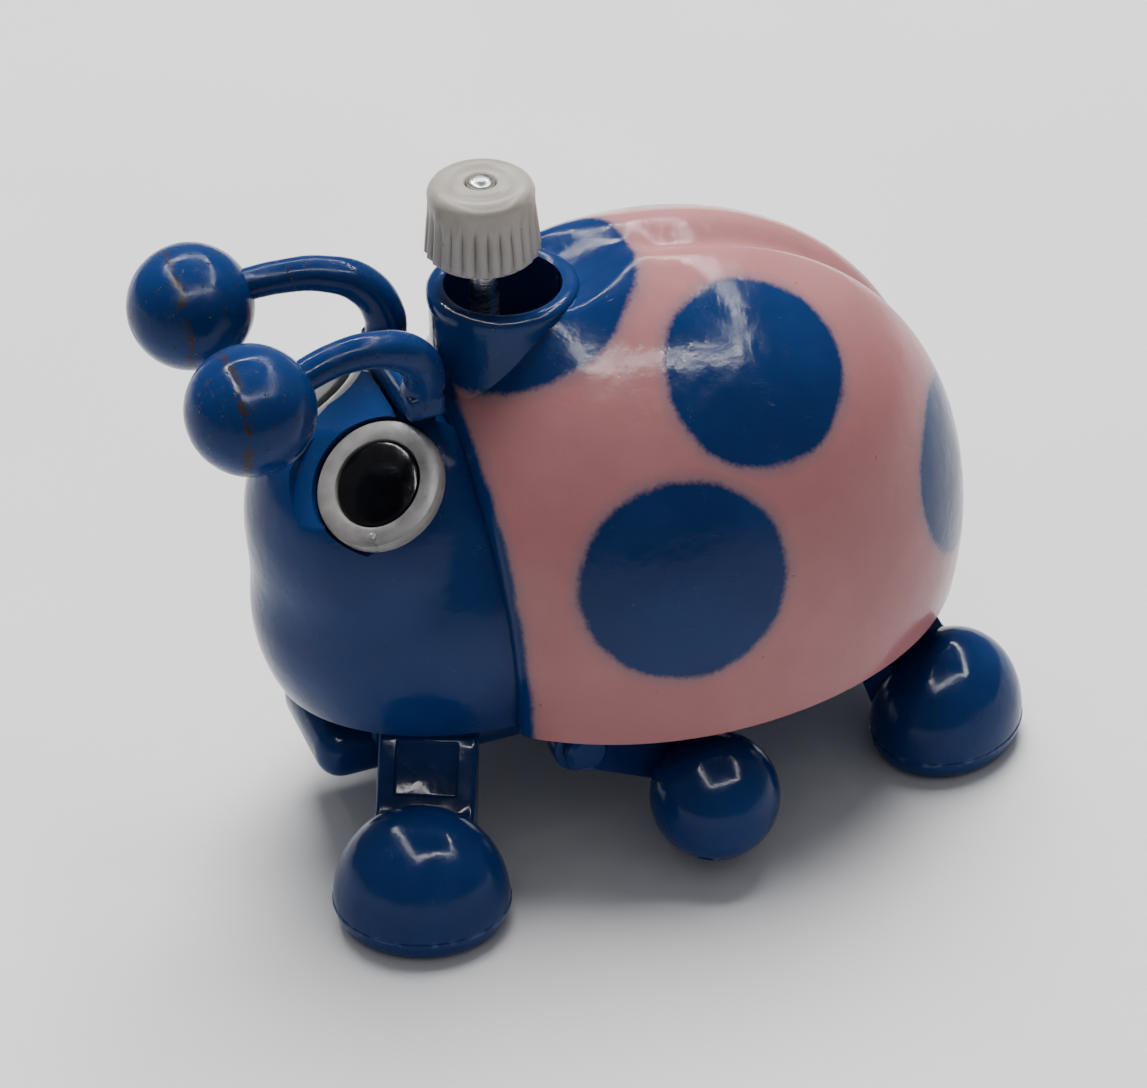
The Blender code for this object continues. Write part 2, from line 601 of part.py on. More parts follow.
def winding_group(nylon, steel, brass):
    top = KNOB_TOP_Z + 0.35
    bm = turned([(0, 18.6), (1.0, 18.6), (1.0, top - 0.35), (0.6, top), (0, top)], 16)
    part("winding_arbor", moved(bm, Matrix.Translation((*ARBOR_XY, 0))), steel,
         (*ARBOR_XY, 18.6))
    outline = []
    for i in range(KNOB_RIBS * 2):
        radius = KNOB_R if i % 2 else KNOB_R - 0.3
        angle = math.tau * i / (KNOB_RIBS * 2)
        outline.append((ARBOR_XY[0] + radius * math.cos(angle),
                        ARBOR_XY[1] + radius * math.sin(angle)))
    ribs = prism(outline, KNOB_BOTTOM_Z, KNOB_TOP_Z - 1.7)
    for vert in ribs.verts:
        if vert.co.z > KNOB_BOTTOM_Z + 1.0:
            vert.co.xy = Vector(ARBOR_XY).lerp(vert.co.xy, KNOB_TAPER)
    knob = part("winding_knob", ribs, nylon, (*ARBOR_XY, KNOB_BOTTOM_Z))
    top, rim = KNOB_TOP_Z, KNOB_TOP_R
    cap = turned([(0, top), (rim - 1.3, top), (rim - 0.4, top - 0.35), (rim, top - 1.1),
                  (rim, top - 2.3), (0, top - 2.3)], 34)
    join(knob, moved(cap, Matrix.Translation((*ARBOR_XY, 0))))
    cut(knob, cylinder(1.0 + GAP, (*ARBOR_XY, 40), (*ARBOR_XY, 60), 16))
    gear("great_gear", GREAT_TEETH, MODULE, ARBOR_XY, 20.0, 21.2, math.pi / 2, 1.0 + GAP, brass)


def mainspring(steel):
    """A flat steel strip wound in a spiral between the arbor and its housing."""
    turns, per_turn, strip = 3.5, 18, 0.3
    inner, outer = 1.9, 5.6
    count = int(turns * per_turn)
    near, far = [], []
    for i in range(count + 1):
        angle = math.tau * i / per_turn
        radius = inner + (outer - inner - strip) * i / count
        for side, reach in ((near, radius), (far, radius + strip)):
            side.append((ARBOR_XY[0] + reach * math.cos(angle),
                         ARBOR_XY[1] + reach * math.sin(angle)))
    part("mainspring", prism(near + far[::-1], 22.2, 26.2), steel)


def spring_housing(ivory):
    bm = turned([(0, 21.7), (6.5, 21.7), (6.5, 26.6), (0, 26.6)], 32)
    housing = part("spring_housing", moved(bm, Matrix.Translation((*ARBOR_XY, 0))), ivory)
    cut(housing, cylinder(5.9, (*ARBOR_XY, 21), (*ARBOR_XY, 29), 32))


def motor_frame(ivory, steel):
    arbors = ((*ARBOR_XY, 1.0), (0.0, SECOND_Y, ARBOR_R), (0.0, ESCAPE_Y, ARBOR_R))
    pillars = [(x * side, y) for side in (LEFT, RIGHT) for x, y in PILLARS]
    outline = list(MOTOR_OUTLINE) + [(-x, y) for x, y in reversed(MOTOR_OUTLINE)]
    for name, (low, high) in (("motor_lower_plate", LOWER_PLATE_Z), ("motor_upper_plate", UPPER_PLATE_Z)):
        plate = part(name, prism(outline, low, high), ivory)
        for x, y, radius in arbors:
            cut(plate, cylinder(radius + GAP, (x, y, low - 1), (x, y, high + 1), 14))
        for x, y in pillars:
            cut(plate, cylinder(0.6 + GAP, (x, y, low - 1), (x, y, high + 1), 10))
    for i, (x, y) in enumerate(pillars, 1):
        low, high = LOWER_PLATE_Z, UPPER_PLATE_Z
        bm = turned([(0, low[0]), (0.6, low[0]), (0.6, low[1] + GAP), (0.9, low[1] + GAP),
                     (0.9, high[0] - GAP), (0.6, high[0] - GAP), (0.6, high[1] - 0.4), (0, high[1] - 0.4)], 12)
        part(f"motor_pillar_{i}", moved(bm, Matrix.Translation((x, y, 0))), steel)


def second_group(brass, ivory, steel):
    centre = (0.0, SECOND_Y)
    arbor("second_arbor", centre, 14.9, 27.8, ARBOR_R, steel)
    half_step = math.pi / SECOND_PINION_TEETH
    gear("second_pinion", SECOND_PINION_TEETH, MODULE, centre, 19.9, 21.3,
         -math.pi / 2 + half_step, ARBOR_R + GAP, steel)
    gear("second_wheel", SECOND_WHEEL_TEETH, MODULE, centre, 18.6, 19.5, math.pi / 2,
         ARBOR_R + GAP, brass)
    tooth_step = math.tau / CROWN_TEETH
    disc_low, disc_high = AXLE_Z + 2.45, AXLE_Z + 3.6
    crown = part("crown_gear", cylinder(CROWN_R + 0.1, (*centre, disc_low), (*centre, disc_high), 36),
                 ivory, (*centre, disc_low))
    teeth = []
    for i in range(CROWN_TEETH):
        for offset, radius in ((-0.27, 3.9), (-0.17, CROWN_R), (0.17, CROWN_R), (0.27, 3.9)):
            angle = (i + 0.5 + offset) * tooth_step
            teeth.append((radius * math.cos(angle), centre[1] + radius * math.sin(angle)))
    join(crown, prism(teeth, AXLE_Z + 1.68, disc_low + 0.3))
    cut(crown, cylinder(ARBOR_R + GAP, (*centre, disc_low - 2), (*centre, disc_high + 1), 16))


def escape_group(brass, ivory, steel):
    centre = (0.0, ESCAPE_Y)
    arbor("escape_arbor", centre, 17.2, 27.8, ARBOR_R, steel)
    half_step = math.pi / ESCAPE_PINION_TEETH
    gear("escape_pinion", ESCAPE_PINION_TEETH, MODULE, centre, 18.5, 19.7,
         -math.pi / 2 + half_step, ARBOR_R + GAP, steel)
    count, tip, root = 13, 3.2, 2.3
    outline = []
    for i in range(count):
        outline.append((root, i / count))
        outline.append((tip, (i + 0.15) / count))
    points = [(r * math.cos(math.tau * f), centre[1] + r * math.sin(math.tau * f))
              for r, f in outline]
    wheel = part("escape_wheel", prism(points, 20.4, 21.2), brass, (*centre, 20.4))
    cut(wheel, cylinder(ARBOR_R + GAP, (*centre, 19), (*centre, 23), 16))
    pin = (0.0, PALLET_Y)
    arbor("pallet_arbor", pin, 18.5, 26.6, 0.5, steel)
    lever = part("pallet_lever", cylinder(1.5, (*pin, 20.3), (*pin, 21.3), 18), ivory, (*pin, 20.3))
    for side in (LEFT, RIGHT):
        arm = [(0.0, 0.6), (0.0, -0.7), (2.6, -1.7), (2.75, -3.0), (3.35, -3.0), (3.5, -0.9)]
        bm = prism([(x, PALLET_Y + y) for x, y in arm], 20.3, 21.3)
        join(lever, mirrored(bm, side))
    cut(lever, cylinder(0.5 + GAP, (*pin, 19), (*pin, 23), 14))


def drive_axle(steel, brass, ivory):
    y, z = SECOND_Y, AXLE_Z
    part("cross_axle", cylinder(AXLE_R, (-10.0, y, z), (10.0, y, z), 14), steel, (0, y, z))
    half_step = math.pi / AXLE_PINION_TEETH
    outline = gear_outline(AXLE_PINION_TEETH, CROWN_MODULE, (0.0, 0.0), 0.0)
    lie_down = Matrix.Translation((0, y, z)) @ Matrix(
        ((0, 0, 1, 0), (0, 1, 0, 0), (-1, 0, 0, 0), (0, 0, 0, 1)))
    pinion = prism(outline, 4.0, 5.6)
    bmesh.ops.rotate(pinion, verts=pinion.verts, matrix=Matrix.Rotation(math.pi, 3, "Z"))
    axle_pinion = part("axle_pinion", moved(pinion, lie_down), brass, (4.0, y, z))
    cut(axle_pinion, cylinder(AXLE_R + GAP, (3, y, z), (7, y, z), 14))
    for side, word in ((LEFT, "left"), (RIGHT, "right")):
        crank = part(f"{word}_crank", mirrored(cylinder(2.6, (CRANK_X[0], y, z), (CRANK_X[1], y, z), 24),
                     side), ivory, on_side((CRANK_X[0], y, z), side))
        throw = CRANK_THROW * side
        pin = cylinder(0.55, (CRANK_X[0] + 0.1, y, z + throw), (LEVER_X[0] - GAP, y, z + throw), 14)
        join(crank, mirrored(pin, side))
        cut(crank, mirrored(cylinder(AXLE_R + GAP, (9, y, z), (10.04, y, z), 14), side))
        bearing = part(f"{word}_axle_bearing", mirrored(box((6.2, y - 2, 10.2), (7.8, y + 2, 16.7), 0.25, 1),
                       side), ivory)
        cut(bearing, mirrored(cylinder(AXLE_R + GAP, (5, y, z), (9, y, z), 14), side))


clear_scene()
PARTS = make_collection("clockwork_ladybug")
CUTTERS = make_collection("cutters")
STEEL_FINISH = material("steel", STEEL, 0.3, 1.0)
BLUE_FINISH = material("blue_plastic", BLUE, 0.32)
NYLON_FINISH = material("nylon", NYLON, 0.45)
IVORY_FINISH = material("ivory_plastic", IVORY, 0.5)
BRASS_FINISH = material("brass", BRASS, 0.35, 1.0)

body_shell(material("sprayed_shell", PINK, 0.35))
antennae(BLUE_FINISH)
eyes(material("white_plastic", WHITE, 0.4), material("black_plastic", BLACK, 0.15))
chassis(BLUE_FINISH, STEEL_FINISH, legs_and_screws(BLUE_FINISH, STEEL_FINISH))
for SIDE, WORD in ((LEFT, "left"), (RIGHT, "right")):
    middle_leg(f"{WORD}_middle_leg", SIDE, BLUE_FINISH)
    leg_pin(f"{WORD}_leg_pin", SIDE, BLUE_FINISH)
winding_group(NYLON_FINISH, STEEL_FINISH, BRASS_FINISH)
mainspring(STEEL_FINISH)
spring_housing(IVORY_FINISH)
motor_frame(IVORY_FINISH, STEEL_FINISH)
second_group(BRASS_FINISH, IVORY_FINISH, STEEL_FINISH)
escape_group(BRASS_FINISH, IVORY_FINISH, STEEL_FINISH)
drive_axle(STEEL_FINISH, BRASS_FINISH, IVORY_FINISH)
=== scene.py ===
import json
import math

import bmesh
import bpy
from mathutils import Matrix, Vector


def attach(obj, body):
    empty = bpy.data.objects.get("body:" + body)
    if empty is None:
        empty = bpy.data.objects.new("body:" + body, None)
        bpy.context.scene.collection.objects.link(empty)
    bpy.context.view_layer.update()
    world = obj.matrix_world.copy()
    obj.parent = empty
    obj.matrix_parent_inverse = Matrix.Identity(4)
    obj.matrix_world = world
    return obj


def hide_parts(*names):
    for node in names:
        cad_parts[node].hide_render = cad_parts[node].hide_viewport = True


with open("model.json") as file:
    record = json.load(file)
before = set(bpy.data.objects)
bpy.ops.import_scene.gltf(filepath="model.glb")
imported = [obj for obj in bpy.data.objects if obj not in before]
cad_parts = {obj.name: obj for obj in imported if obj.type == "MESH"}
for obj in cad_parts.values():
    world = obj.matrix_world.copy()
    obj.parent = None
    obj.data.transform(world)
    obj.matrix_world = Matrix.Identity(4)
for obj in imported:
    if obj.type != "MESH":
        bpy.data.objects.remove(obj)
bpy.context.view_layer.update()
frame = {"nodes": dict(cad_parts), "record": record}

MM = 0.001
LEFT, RIGHT = 1, -1
SIDES = ((LEFT, "left"), (RIGHT, "right"))

# carapace
WALL = 1.6
CROWN_WALL = 2.9
SHELL_CENTRE = (0.0, 5.4, 17.0)
SHELL_AXES = (18.3, 24.2, 26.4)
SHELL_FRONT_AXIS = 22.5
SHELL_CROWN_DROP = 1.4
HEAD_HEART = (0.0, -13.0, 19.0)
HEAD_ELLIPSOIDS = (((0.0, -9.5, 17.5), (12.3, 16.4, 14.5)),
                   ((0.0, -16.5, 25.5), (9.6, 9.3, 10.4)))
HEAD_BLEND = 16
CROWN_EDGE = (0.0, -15.5, 35.5)
CROWN_TILT = math.radians(23.0)
RIM_Z = 11.8
SEAM_POINT = (0.0, -10.2, 12.0)
SEAM_LEAN = math.radians(3.0)
SEAM_ROUNDING = 0.55
GROOVE_DEPTH, GROOVE_WIDTH, GROOVE_START_Y = 1.5, 1.7, 0.0
COLLAR_XY = (0.0, -6.1)
COLLAR_BORE_R, COLLAR_R, COLLAR_TOP_Z = 4.2, 5.45, 42.3
SWELL_XY, SWELL_R, SWELL = (0.0, -5.0), 7.5, 2.5   # the shell swells to meet the collar
SHELL_SCREW_Y = (-19.6, 26.0)
BOSS_R, BOSS_BASE_Z, BOSS_TOP_Z = 1.9, 10.2, (31.4, 19.3)
SCREW_BORE_R, LEG_BORE_R = 1.2, 1.3
INSIDE_SKIN = 0.3                      # how far past the hollow a face still counts as inside
SPOTS = (((17.0, 0.8, 25.3), 7.6), ((12.0, 9.0, 38.7), 7.3), ((7.6, 24.9, 23.2), 6.7),
         ((0.0, -5.0, 42.0), 8.5))

# knob, eyes and feelers
ARBOR_XY = (0.0, -7.5)
KNOB_Z = (45.0, 50.7)
KNOB_RIBS = 26
EYE_CENTRE = Vector((6.3, -18.1, 32.3))
EYE_NORMAL = Vector((0.345, -0.526, 0.778)).normalized()
EYE_R, PUPIL_R, EYE_THICKNESS = 4.72, 3.1, 1.3
NUB_XY = (3.35, -2.2)                  # the moulding gate's stub on each eye
FEELER_BALL, FEELER_BALL_R = Vector((7.0, -26.9, 41.2)), 4.52
DIRT_LINE_Y = FEELER_BALL.y - 1.4      # where dirt has settled round each ball
FEELER_PATH = ((3.7, -13.75, 37.1), (4.2, -13.6, 38.9), (4.8, -14.9, 41.3), (5.3, -17.6, 42.6),
               (5.8, -20.6, 42.8), (6.6, -24.0, 42.2))
FEELER_RADII = (1.5, 1.5, 1.45, 1.3, 1.2, 1.15)
SADDLE_Y, SADDLE_HALF_WIDTH, SADDLE_Z = (-15.2, -12.4), 5.3, (35.75, 37.7)

# legs and chassis
FRONT_PIVOT, FRONT_REACH, FRONT_SWING = (0.0, -11.74), 17.24, math.radians(26.0)
REAR_FOOT, REAR_TURN, REAR_TAB = (11.5, 24.9), math.radians(26.0), 3.2
REAR_SCREW_REACH = 9.75                # from the foot in to its screw
FOOT_LONG, FOOT_SHORT, FOOT_HEIGHT = 6.55, 5.45, 9.3
PARTING_Z = 1.9
STRUT_WIDTH, STRUT_REACH = 7.2, 7.8
MIDDLE_BALL, MIDDLE_BALL_R = Vector((17.1, 3.1, 5.45)), 4.82
ROCK_YZ = (-5.5, 9.6)
CRANK_YZ = (0.9, 12.0)
LEVER_X = (11.2, 12.9)
PLATE_Z = (8.0, 9.6)
PLATE_OUTLINE = ((5.1, -19.2), (8.1, -12.6), (8.3, 9.5), (4.6, 17.2), (2.5, 21.6), (1.2, 23.0),
                 (1.2, 25.0))
NOSE_BOX = ((-5.4, -23.2, 5.0), (5.4, -15.0, 9.5))


# ---------------------------------------------------------------- mesh helpers

def moved(bm, matrix):
    bmesh.ops.transform(bm, matrix=matrix, verts=bm.verts)
    return bm


def mirrored(bm, side):
    if side == RIGHT:
        bmesh.ops.scale(bm, verts=bm.verts, vec=(-1, 1, 1))
        bmesh.ops.reverse_faces(bm, faces=bm.faces)
    return bm


def on_side(point, side):
    return Vector((point[0] * side, point[1], point[2]))


def rounded(bm, width, segments=3, angle=30.0):
    """Round every edge of a bmesh that is sharper than the given angle."""
    limit = math.radians(angle)
    edges = [e for e in bm.edges if len(e.link_faces) == 2 and e.calc_face_angle() > limit]
    bmesh.ops.bevel(bm, geom=edges, offset=width, segments=segments, profile=0.5,
                    affect="EDGES", clamp_overlap=True)
    return bm


def cylinder(radius, start, end, segments=64):
    start, end = Vector(start), Vector(end)
    turn = Vector((0, 0, 1)).rotation_difference(end - start).to_matrix().to_4x4()
    bm = bmesh.new()
    bmesh.ops.create_cone(bm, cap_ends=True, segments=segments, radius1=radius, radius2=radius,
                          depth=(end - start).length,
                          matrix=Matrix.Translation((start + end) / 2) @ turn)
    return bm


def box(low, high):
    low, high = Vector(low), Vector(high)
    bm = bmesh.new()
    bmesh.ops.create_cube(bm, size=1.0)
    bmesh.ops.scale(bm, verts=bm.verts, vec=high - low)
    bmesh.ops.translate(bm, verts=bm.verts, vec=(low + high) / 2)
    return bm


def ball(centre, radius, around=72, along=40):
    bm = bmesh.new()
    bmesh.ops.create_uvsphere(bm, u_segments=around, v_segments=along, radius=radius)
    bmesh.ops.translate(bm, verts=bm.verts, vec=centre)
    return bm


def turned(profile, columns=96, shape=None):
    """Revolve an (r, z) profile; shape(r, z, angle) may change the radius. Ends at r = 0 close."""
    bm = bmesh.new()
    rows = []
    for radius, height in profile:
        if radius == 0:
            rows.append([bm.verts.new((0, 0, height))] * columns)
            continue
        row = []
        for i in range(columns):
            angle = math.tau * i / columns
            reach = shape(radius, height, angle) if shape else radius
            row.append(bm.verts.new((reach * math.cos(angle), reach * math.sin(angle), height)))
        rows.append(row)
    if profile[0][0]:
        rows.append(rows[0])
    for low, high in zip(rows, rows[1:]):
        for i in range(columns):
            j = (i + 1) % columns
            corners = []
            for vert in (low[i], low[j], high[j], high[i]):
                if vert not in corners:
                    corners.append(vert)
            bm.faces.new(corners)
    bmesh.ops.recalc_face_normals(bm, faces=bm.faces)
    return bm


def prism(outline, low, high):
    bm = bmesh.new()
    face = bm.faces.new([bm.verts.new((x, y, low)) for x, y in outline])
    raised = bmesh.ops.extrude_face_region(bm, geom=[face])
    top = [item for item in raised["geom"] if isinstance(item, bmesh.types.BMVert)]
    bmesh.ops.translate(bm, verts=top, vec=(0, 0, high - low))
    bmesh.ops.recalc_face_normals(bm, faces=bm.faces)
    return bm


def tube(points, radii, sides=28):
    """A round bar swept through the points."""
    curve = bpy.data.curves.new("bar", "CURVE")
    curve.dimensions = "3D"
    curve.bevel_depth = 1.0
    curve.bevel_resolution = sides // 2 - 2
    curve.use_fill_caps = True
    curve.resolution_u = 10
    spline = curve.splines.new("BEZIER")
    spline.bezier_points.add(len(points) - 1)
    for knot, place, radius in zip(spline.bezier_points, points, radii):
        knot.co = place
        knot.radius = radius
        knot.handle_left_type = knot.handle_right_type = "AUTO"
    guide = bpy.data.objects.new("bar", curve)
    bpy.context.scene.collection.objects.link(guide)
    depsgraph = bpy.context.evaluated_depsgraph_get()
    mesh = bpy.data.meshes.new_from_object(guide.evaluated_get(depsgraph))
    bm = bmesh.new()
    bm.from_mesh(mesh)
    bmesh.ops.remove_doubles(bm, verts=bm.verts, dist=0.001)
    bmesh.ops.recalc_face_normals(bm, faces=bm.faces)
    bpy.data.objects.remove(guide, do_unlink=True)
    bpy.data.meshes.remove(mesh)
    return bm


def raw_object(name, bm):
    bmesh.ops.scale(bm, verts=bm.verts, vec=(MM, MM, MM))
    mesh = bpy.data.meshes.new(name)
    bm.to_mesh(mesh)
    bm.free()
    obj = bpy.data.objects.new(name, mesh)
    bpy.context.scene.collection.objects.link(obj)
    return obj


def bmesh_of(obj):
    """The object's mesh as a bmesh in millimetres; the object is removed."""
    bm = bmesh.new()
    bm.from_mesh(obj.data)
    bmesh.ops.scale(bm, verts=bm.verts, vec=(1 / MM, 1 / MM, 1 / MM))
    bpy.data.objects.remove(obj, do_unlink=True)
    return bm


def moulding(name, start, joins=(), cuts=()):
    """An object made from one bmesh with others joined on and then others cut away."""
    obj = raw_object(name, start)
    tools = []
    for operation, shapes in (("UNION", joins), ("DIFFERENCE", cuts)):
        for shape in shapes:
            tool = raw_object(f"{name}_tool", shape)
            modifier = obj.modifiers.new(operation.title(), "BOOLEAN")
            modifier.operation = operation
            modifier.solver = "EXACT"
            modifier.object = tool
            tools.append(tool)
    if tools:
        depsgraph = bpy.context.evaluated_depsgraph_get()
        solid = bpy.data.meshes.new_from_object(obj.evaluated_get(depsgraph))
        obj.modifiers.clear()
        obj.data = solid
        for tool in tools:
            bpy.data.objects.remove(tool, do_unlink=True)
    return obj


def show(obj, body, nodes, slot, *finishes, sharp=32.0):
    """Give a piece its finishes, its CAD body and the CAD nodes it stands for."""
    obj.data.materials.clear()
    for finish in finishes:
        obj.data.materials.append(finish)
    obj.data.shade_smooth()
    obj.data.set_sharp_from_angle(angle=math.radians(sharp))
    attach(obj, body)
    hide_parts(*nodes)
    return obj


# ---------------------------------------------------------------- finishes

class Paint:
    """A material under construction, with shorthand for its nodes; places are in mm."""

    def __init__(self, name):
        self.material = bpy.data.materials.new(name)
        self.material.use_nodes = True
        self.tree = self.material.node_tree
        self.shader = self.tree.nodes["Principled BSDF"]
        here = self.node("ShaderNodeTexCoord").outputs["Object"]
        self.place = self.vector("MULTIPLY", here, (1000.0, 1000.0, 1000.0))

    def node(self, kind, **settings):
        made = self.tree.nodes.new(kind)
        for key, value in settings.items():
            setattr(made, key, value)
        return made

    def feed(self, socket, value):
        if isinstance(value, bpy.types.NodeSocket):
            self.tree.links.new(value, socket)
        elif isinstance(value, tuple) and len(socket.default_value) == 4:
            socket.default_value = (*value, 1.0)
        else:
            socket.default_value = value

    def maths(self, operation, *values):
        made = self.node("ShaderNodeMath", operation=operation)
        for socket, value in zip(made.inputs, values):
            self.feed(socket, value)
        return made.outputs[0]

    def vector(self, operation, *values, result="Vector"):
        made = self.node("ShaderNodeVectorMath", operation=operation)
        for socket, value in zip(made.inputs, values):
            self.feed(socket, value)
        return made.outputs[result]

    def axes(self):
        made = self.node("ShaderNodeSeparateXYZ")
        self.feed(made.inputs[0], self.place)
        return made.outputs

    def noise(self, scale, detail=3.0, stretch=(1.0, 1.0, 1.0)):
        made = self.node("ShaderNodeTexNoise")
        made.inputs["Scale"].default_value = scale
        made.inputs["Detail"].default_value = detail
        self.feed(made.inputs["Vector"], self.vector("MULTIPLY", self.place, stretch))
        return made.outputs["Fac"]

    def ramp(self, value, start, end, low=0.0, high=1.0):
        """Low until value passes start, high beyond end, smooth between; start may exceed end."""
        made = self.node("ShaderNodeMapRange", interpolation_type="SMOOTHSTEP")
        for socket, number in zip(made.inputs, (value, start, end, low, high)):
            self.feed(socket, number)
        return made.outputs["Result"]

    def mix(self, factor, first, second):
        made = self.node("ShaderNodeMix", data_type="RGBA")
        for index, value in ((0, factor), (6, first), (7, second)):
            self.feed(made.inputs[index], value)
        return made.outputs[2]

    def scratches(self, stretch, width=0.006, rarity=0.6):
        """Thin hairlines drawn out across the stretched direction."""
        line = self.maths("ABSOLUTE", self.maths("SUBTRACT", self.noise(0.35, 1.0, stretch), 0.5))
        patch = self.ramp(self.noise(0.5, 1.0), rarity, rarity + 0.05)
        return self.maths("MULTIPLY", self.ramp(line, width, 0.0), patch)

    def finish(self, colour, roughness, bumps, **constants):
        """Wire colour, roughness and (height, depth in mm) bumps into the shader."""
        self.feed(self.shader.inputs["Base Color"], colour)
        self.feed(self.shader.inputs["Roughness"], roughness)
        normal = None
        for height, depth in bumps:
            bump = self.node("ShaderNodeBump")
            bump.inputs["Distance"].default_value = depth * MM
            self.feed(bump.inputs["Height"], height)
            if normal:
                self.feed(bump.inputs["Normal"], normal)
            normal = bump.outputs["Normal"]
        self.feed(self.shader.inputs["Normal"], normal)
        for key, value in constants.items():
            self.shader.inputs[key.replace("_", " ")].default_value = value
        return self.material


BLUE_DEEP, BLUE_LIGHT = (0.005, 0.022, 0.096), (0.0065, 0.029, 0.118)
PINK_DEEP, PINK_LIGHT = (0.37, 0.148, 0.152), (0.43, 0.180, 0.185)
SCUFF = (0.14, 0.20, 0.34)             # blue rubbed pale
DIRT = (0.035, 0.022, 0.016)
BLUE_SPECULAR, SHELL_SPECULAR = 0.13, 0.16


def blue_paint(paint):
    """The moulded blue with faint flow marks."""
    cloud = paint.ramp(paint.noise(0.12, 4.0), 0.35, 0.65)
    return paint.mix(cloud, BLUE_DEEP, BLUE_LIGHT)


def orange_peel(paint):
    """The slight waviness of a cheap glossy moulding, in two sizes."""
    return [(paint.noise(0.28, 2.0), 0.10), (paint.noise(1.6, 3.0), 0.018)]


def blue_plastic(name, dirt=0.0, parting=None, dirt_line=None):
    """The glossy blue, scuffed at the parting height and dirty along the dirt line if given."""
    paint = Paint(name)
    colour = blue_paint(paint)
    marks = paint.scratches((1.0, 9.0, 2.0), 0.004, 0.56)
    colour = paint.mix(paint.maths("MULTIPLY", marks, 0.2), colour, SCUFF)
    specks = paint.ramp(paint.noise(1.9, 4.0), 0.70 - 0.06 * dirt, 0.74 - 0.06 * dirt)
    colour = paint.mix(paint.maths("MULTIPLY", specks, 0.2 + 0.3 * dirt), colour, DIRT)
    rough = paint.ramp(paint.noise(0.5, 3.0), 0.3, 0.7, 0.10, 0.20 + 0.10 * dirt)
    bumps = orange_peel(paint) + [(marks, 0.01), (specks, 0.03 * dirt + 0.004)]
    if parting is not None:
        height = paint.axes()[2]
        away = paint.maths("ABSOLUTE", paint.maths("SUBTRACT", height, parting))
        scuffs = paint.maths("MULTIPLY", paint.ramp(away, 0.35, 0.0),
                             paint.ramp(paint.noise(0.9, 3.0), 0.45, 0.62))
        colour = paint.mix(paint.maths("MULTIPLY", scuffs, 0.35), colour, SCUFF)
    if dirt_line is not None:
        away = paint.maths("SUBTRACT", paint.axes()[1], dirt_line)
        sway = paint.maths("SUBTRACT", paint.noise(0.8, 3.0), 0.5)
        away = paint.maths("ADD", away, paint.maths("MULTIPLY", sway, 1.2))
        away = paint.maths("ABSOLUTE", away)
        grime = paint.maths("MULTIPLY", paint.ramp(away, 0.42, 0.08),
                            paint.ramp(paint.noise(1.1, 4.0), 0.42, 0.56))
        colour = paint.mix(paint.maths("MULTIPLY", grime, 0.85), colour, DIRT)
    return paint.finish(colour, rough, bumps, Specular_IOR_Level=BLUE_SPECULAR)


def sprayed_shell():
    """Pink sprayed over the blue moulding, leaving blue spots with soft overspray edges."""
    paint = Paint("sprayed_shell_paint")
    x, y, z = paint.axes()
    folded = paint.node("ShaderNodeCombineXYZ")
    for socket, value in zip(folded.inputs, (paint.maths("ABSOLUTE", x), y, z)):
        paint.feed(socket, value)
    wobble = paint.maths("MULTIPLY", paint.maths("SUBTRACT", paint.noise(0.3, 2.0), 0.5), 0.8)
    grit = paint.maths("MULTIPLY", paint.maths("SUBTRACT", paint.noise(3.2, 4.0), 0.5), 0.45)
    stray = paint.maths("ADD", wobble, grit)
    blue, halo = 0.0, 0.0
    for centre, radius in SPOTS:
        away = paint.vector("DISTANCE", folded.outputs[0], centre, result="Value")
        away = paint.maths("ADD", away, stray)
        blue = paint.maths("MAXIMUM", blue, paint.ramp(away, radius + 0.32, radius - 0.28))
        halo = paint.maths("MAXIMUM", halo, paint.ramp(away, radius + 1.15, radius))
    back = (0.0, math.cos(SEAM_LEAN), math.sin(SEAM_LEAN))
    behind = paint.vector("SUBTRACT", paint.place, SEAM_POINT)
    behind = paint.vector("DOT_PRODUCT", behind, back, result="Value")
    behind = paint.maths("ADD", behind, paint.maths("MULTIPLY", stray, 0.6))
    blue = paint.maths("MAXIMUM", blue, paint.ramp(behind, 0.85, 0.45))
    halo = paint.maths("MAXIMUM", halo, paint.ramp(behind, 1.4, 0.6))
    pink = paint.mix(paint.ramp(paint.noise(0.09, 3.0), 0.3, 0.7), PINK_DEEP, PINK_LIGHT)
    thin = paint.ramp(paint.noise(1.2, 5.0), 0.62, 0.78)
    pink = paint.mix(paint.maths("MULTIPLY", thin, 0.25), pink, (0.30, 0.13, 0.15))
    marks = paint.scratches((8.0, 1.0, 2.5), 0.003, 0.6)
    colour = paint.mix(paint.maths("MULTIPLY", halo, 0.6), pink, (0.17, 0.14, 0.17))
    colour = paint.mix(blue, colour, blue_paint(paint))
    colour = paint.mix(paint.maths("MULTIPLY", marks, 0.2), colour, (0.40, 0.36, 0.40))
    specks = paint.ramp(paint.noise(1.4, 4.0), 0.735, 0.76)
    colour = paint.mix(paint.maths("MULTIPLY", specks, 0.4), colour, DIRT)
    rough = paint.ramp(paint.noise(0.6, 4.0), 0.3, 0.7, 0.10, 0.20)
    bumps = orange_peel(paint) + [(blue, -0.02), (marks, 0.01), (paint.noise(4.5, 2.0), 0.006)]
    return paint.finish(colour, rough, bumps, Specular_IOR_Level=SHELL_SPECULAR)


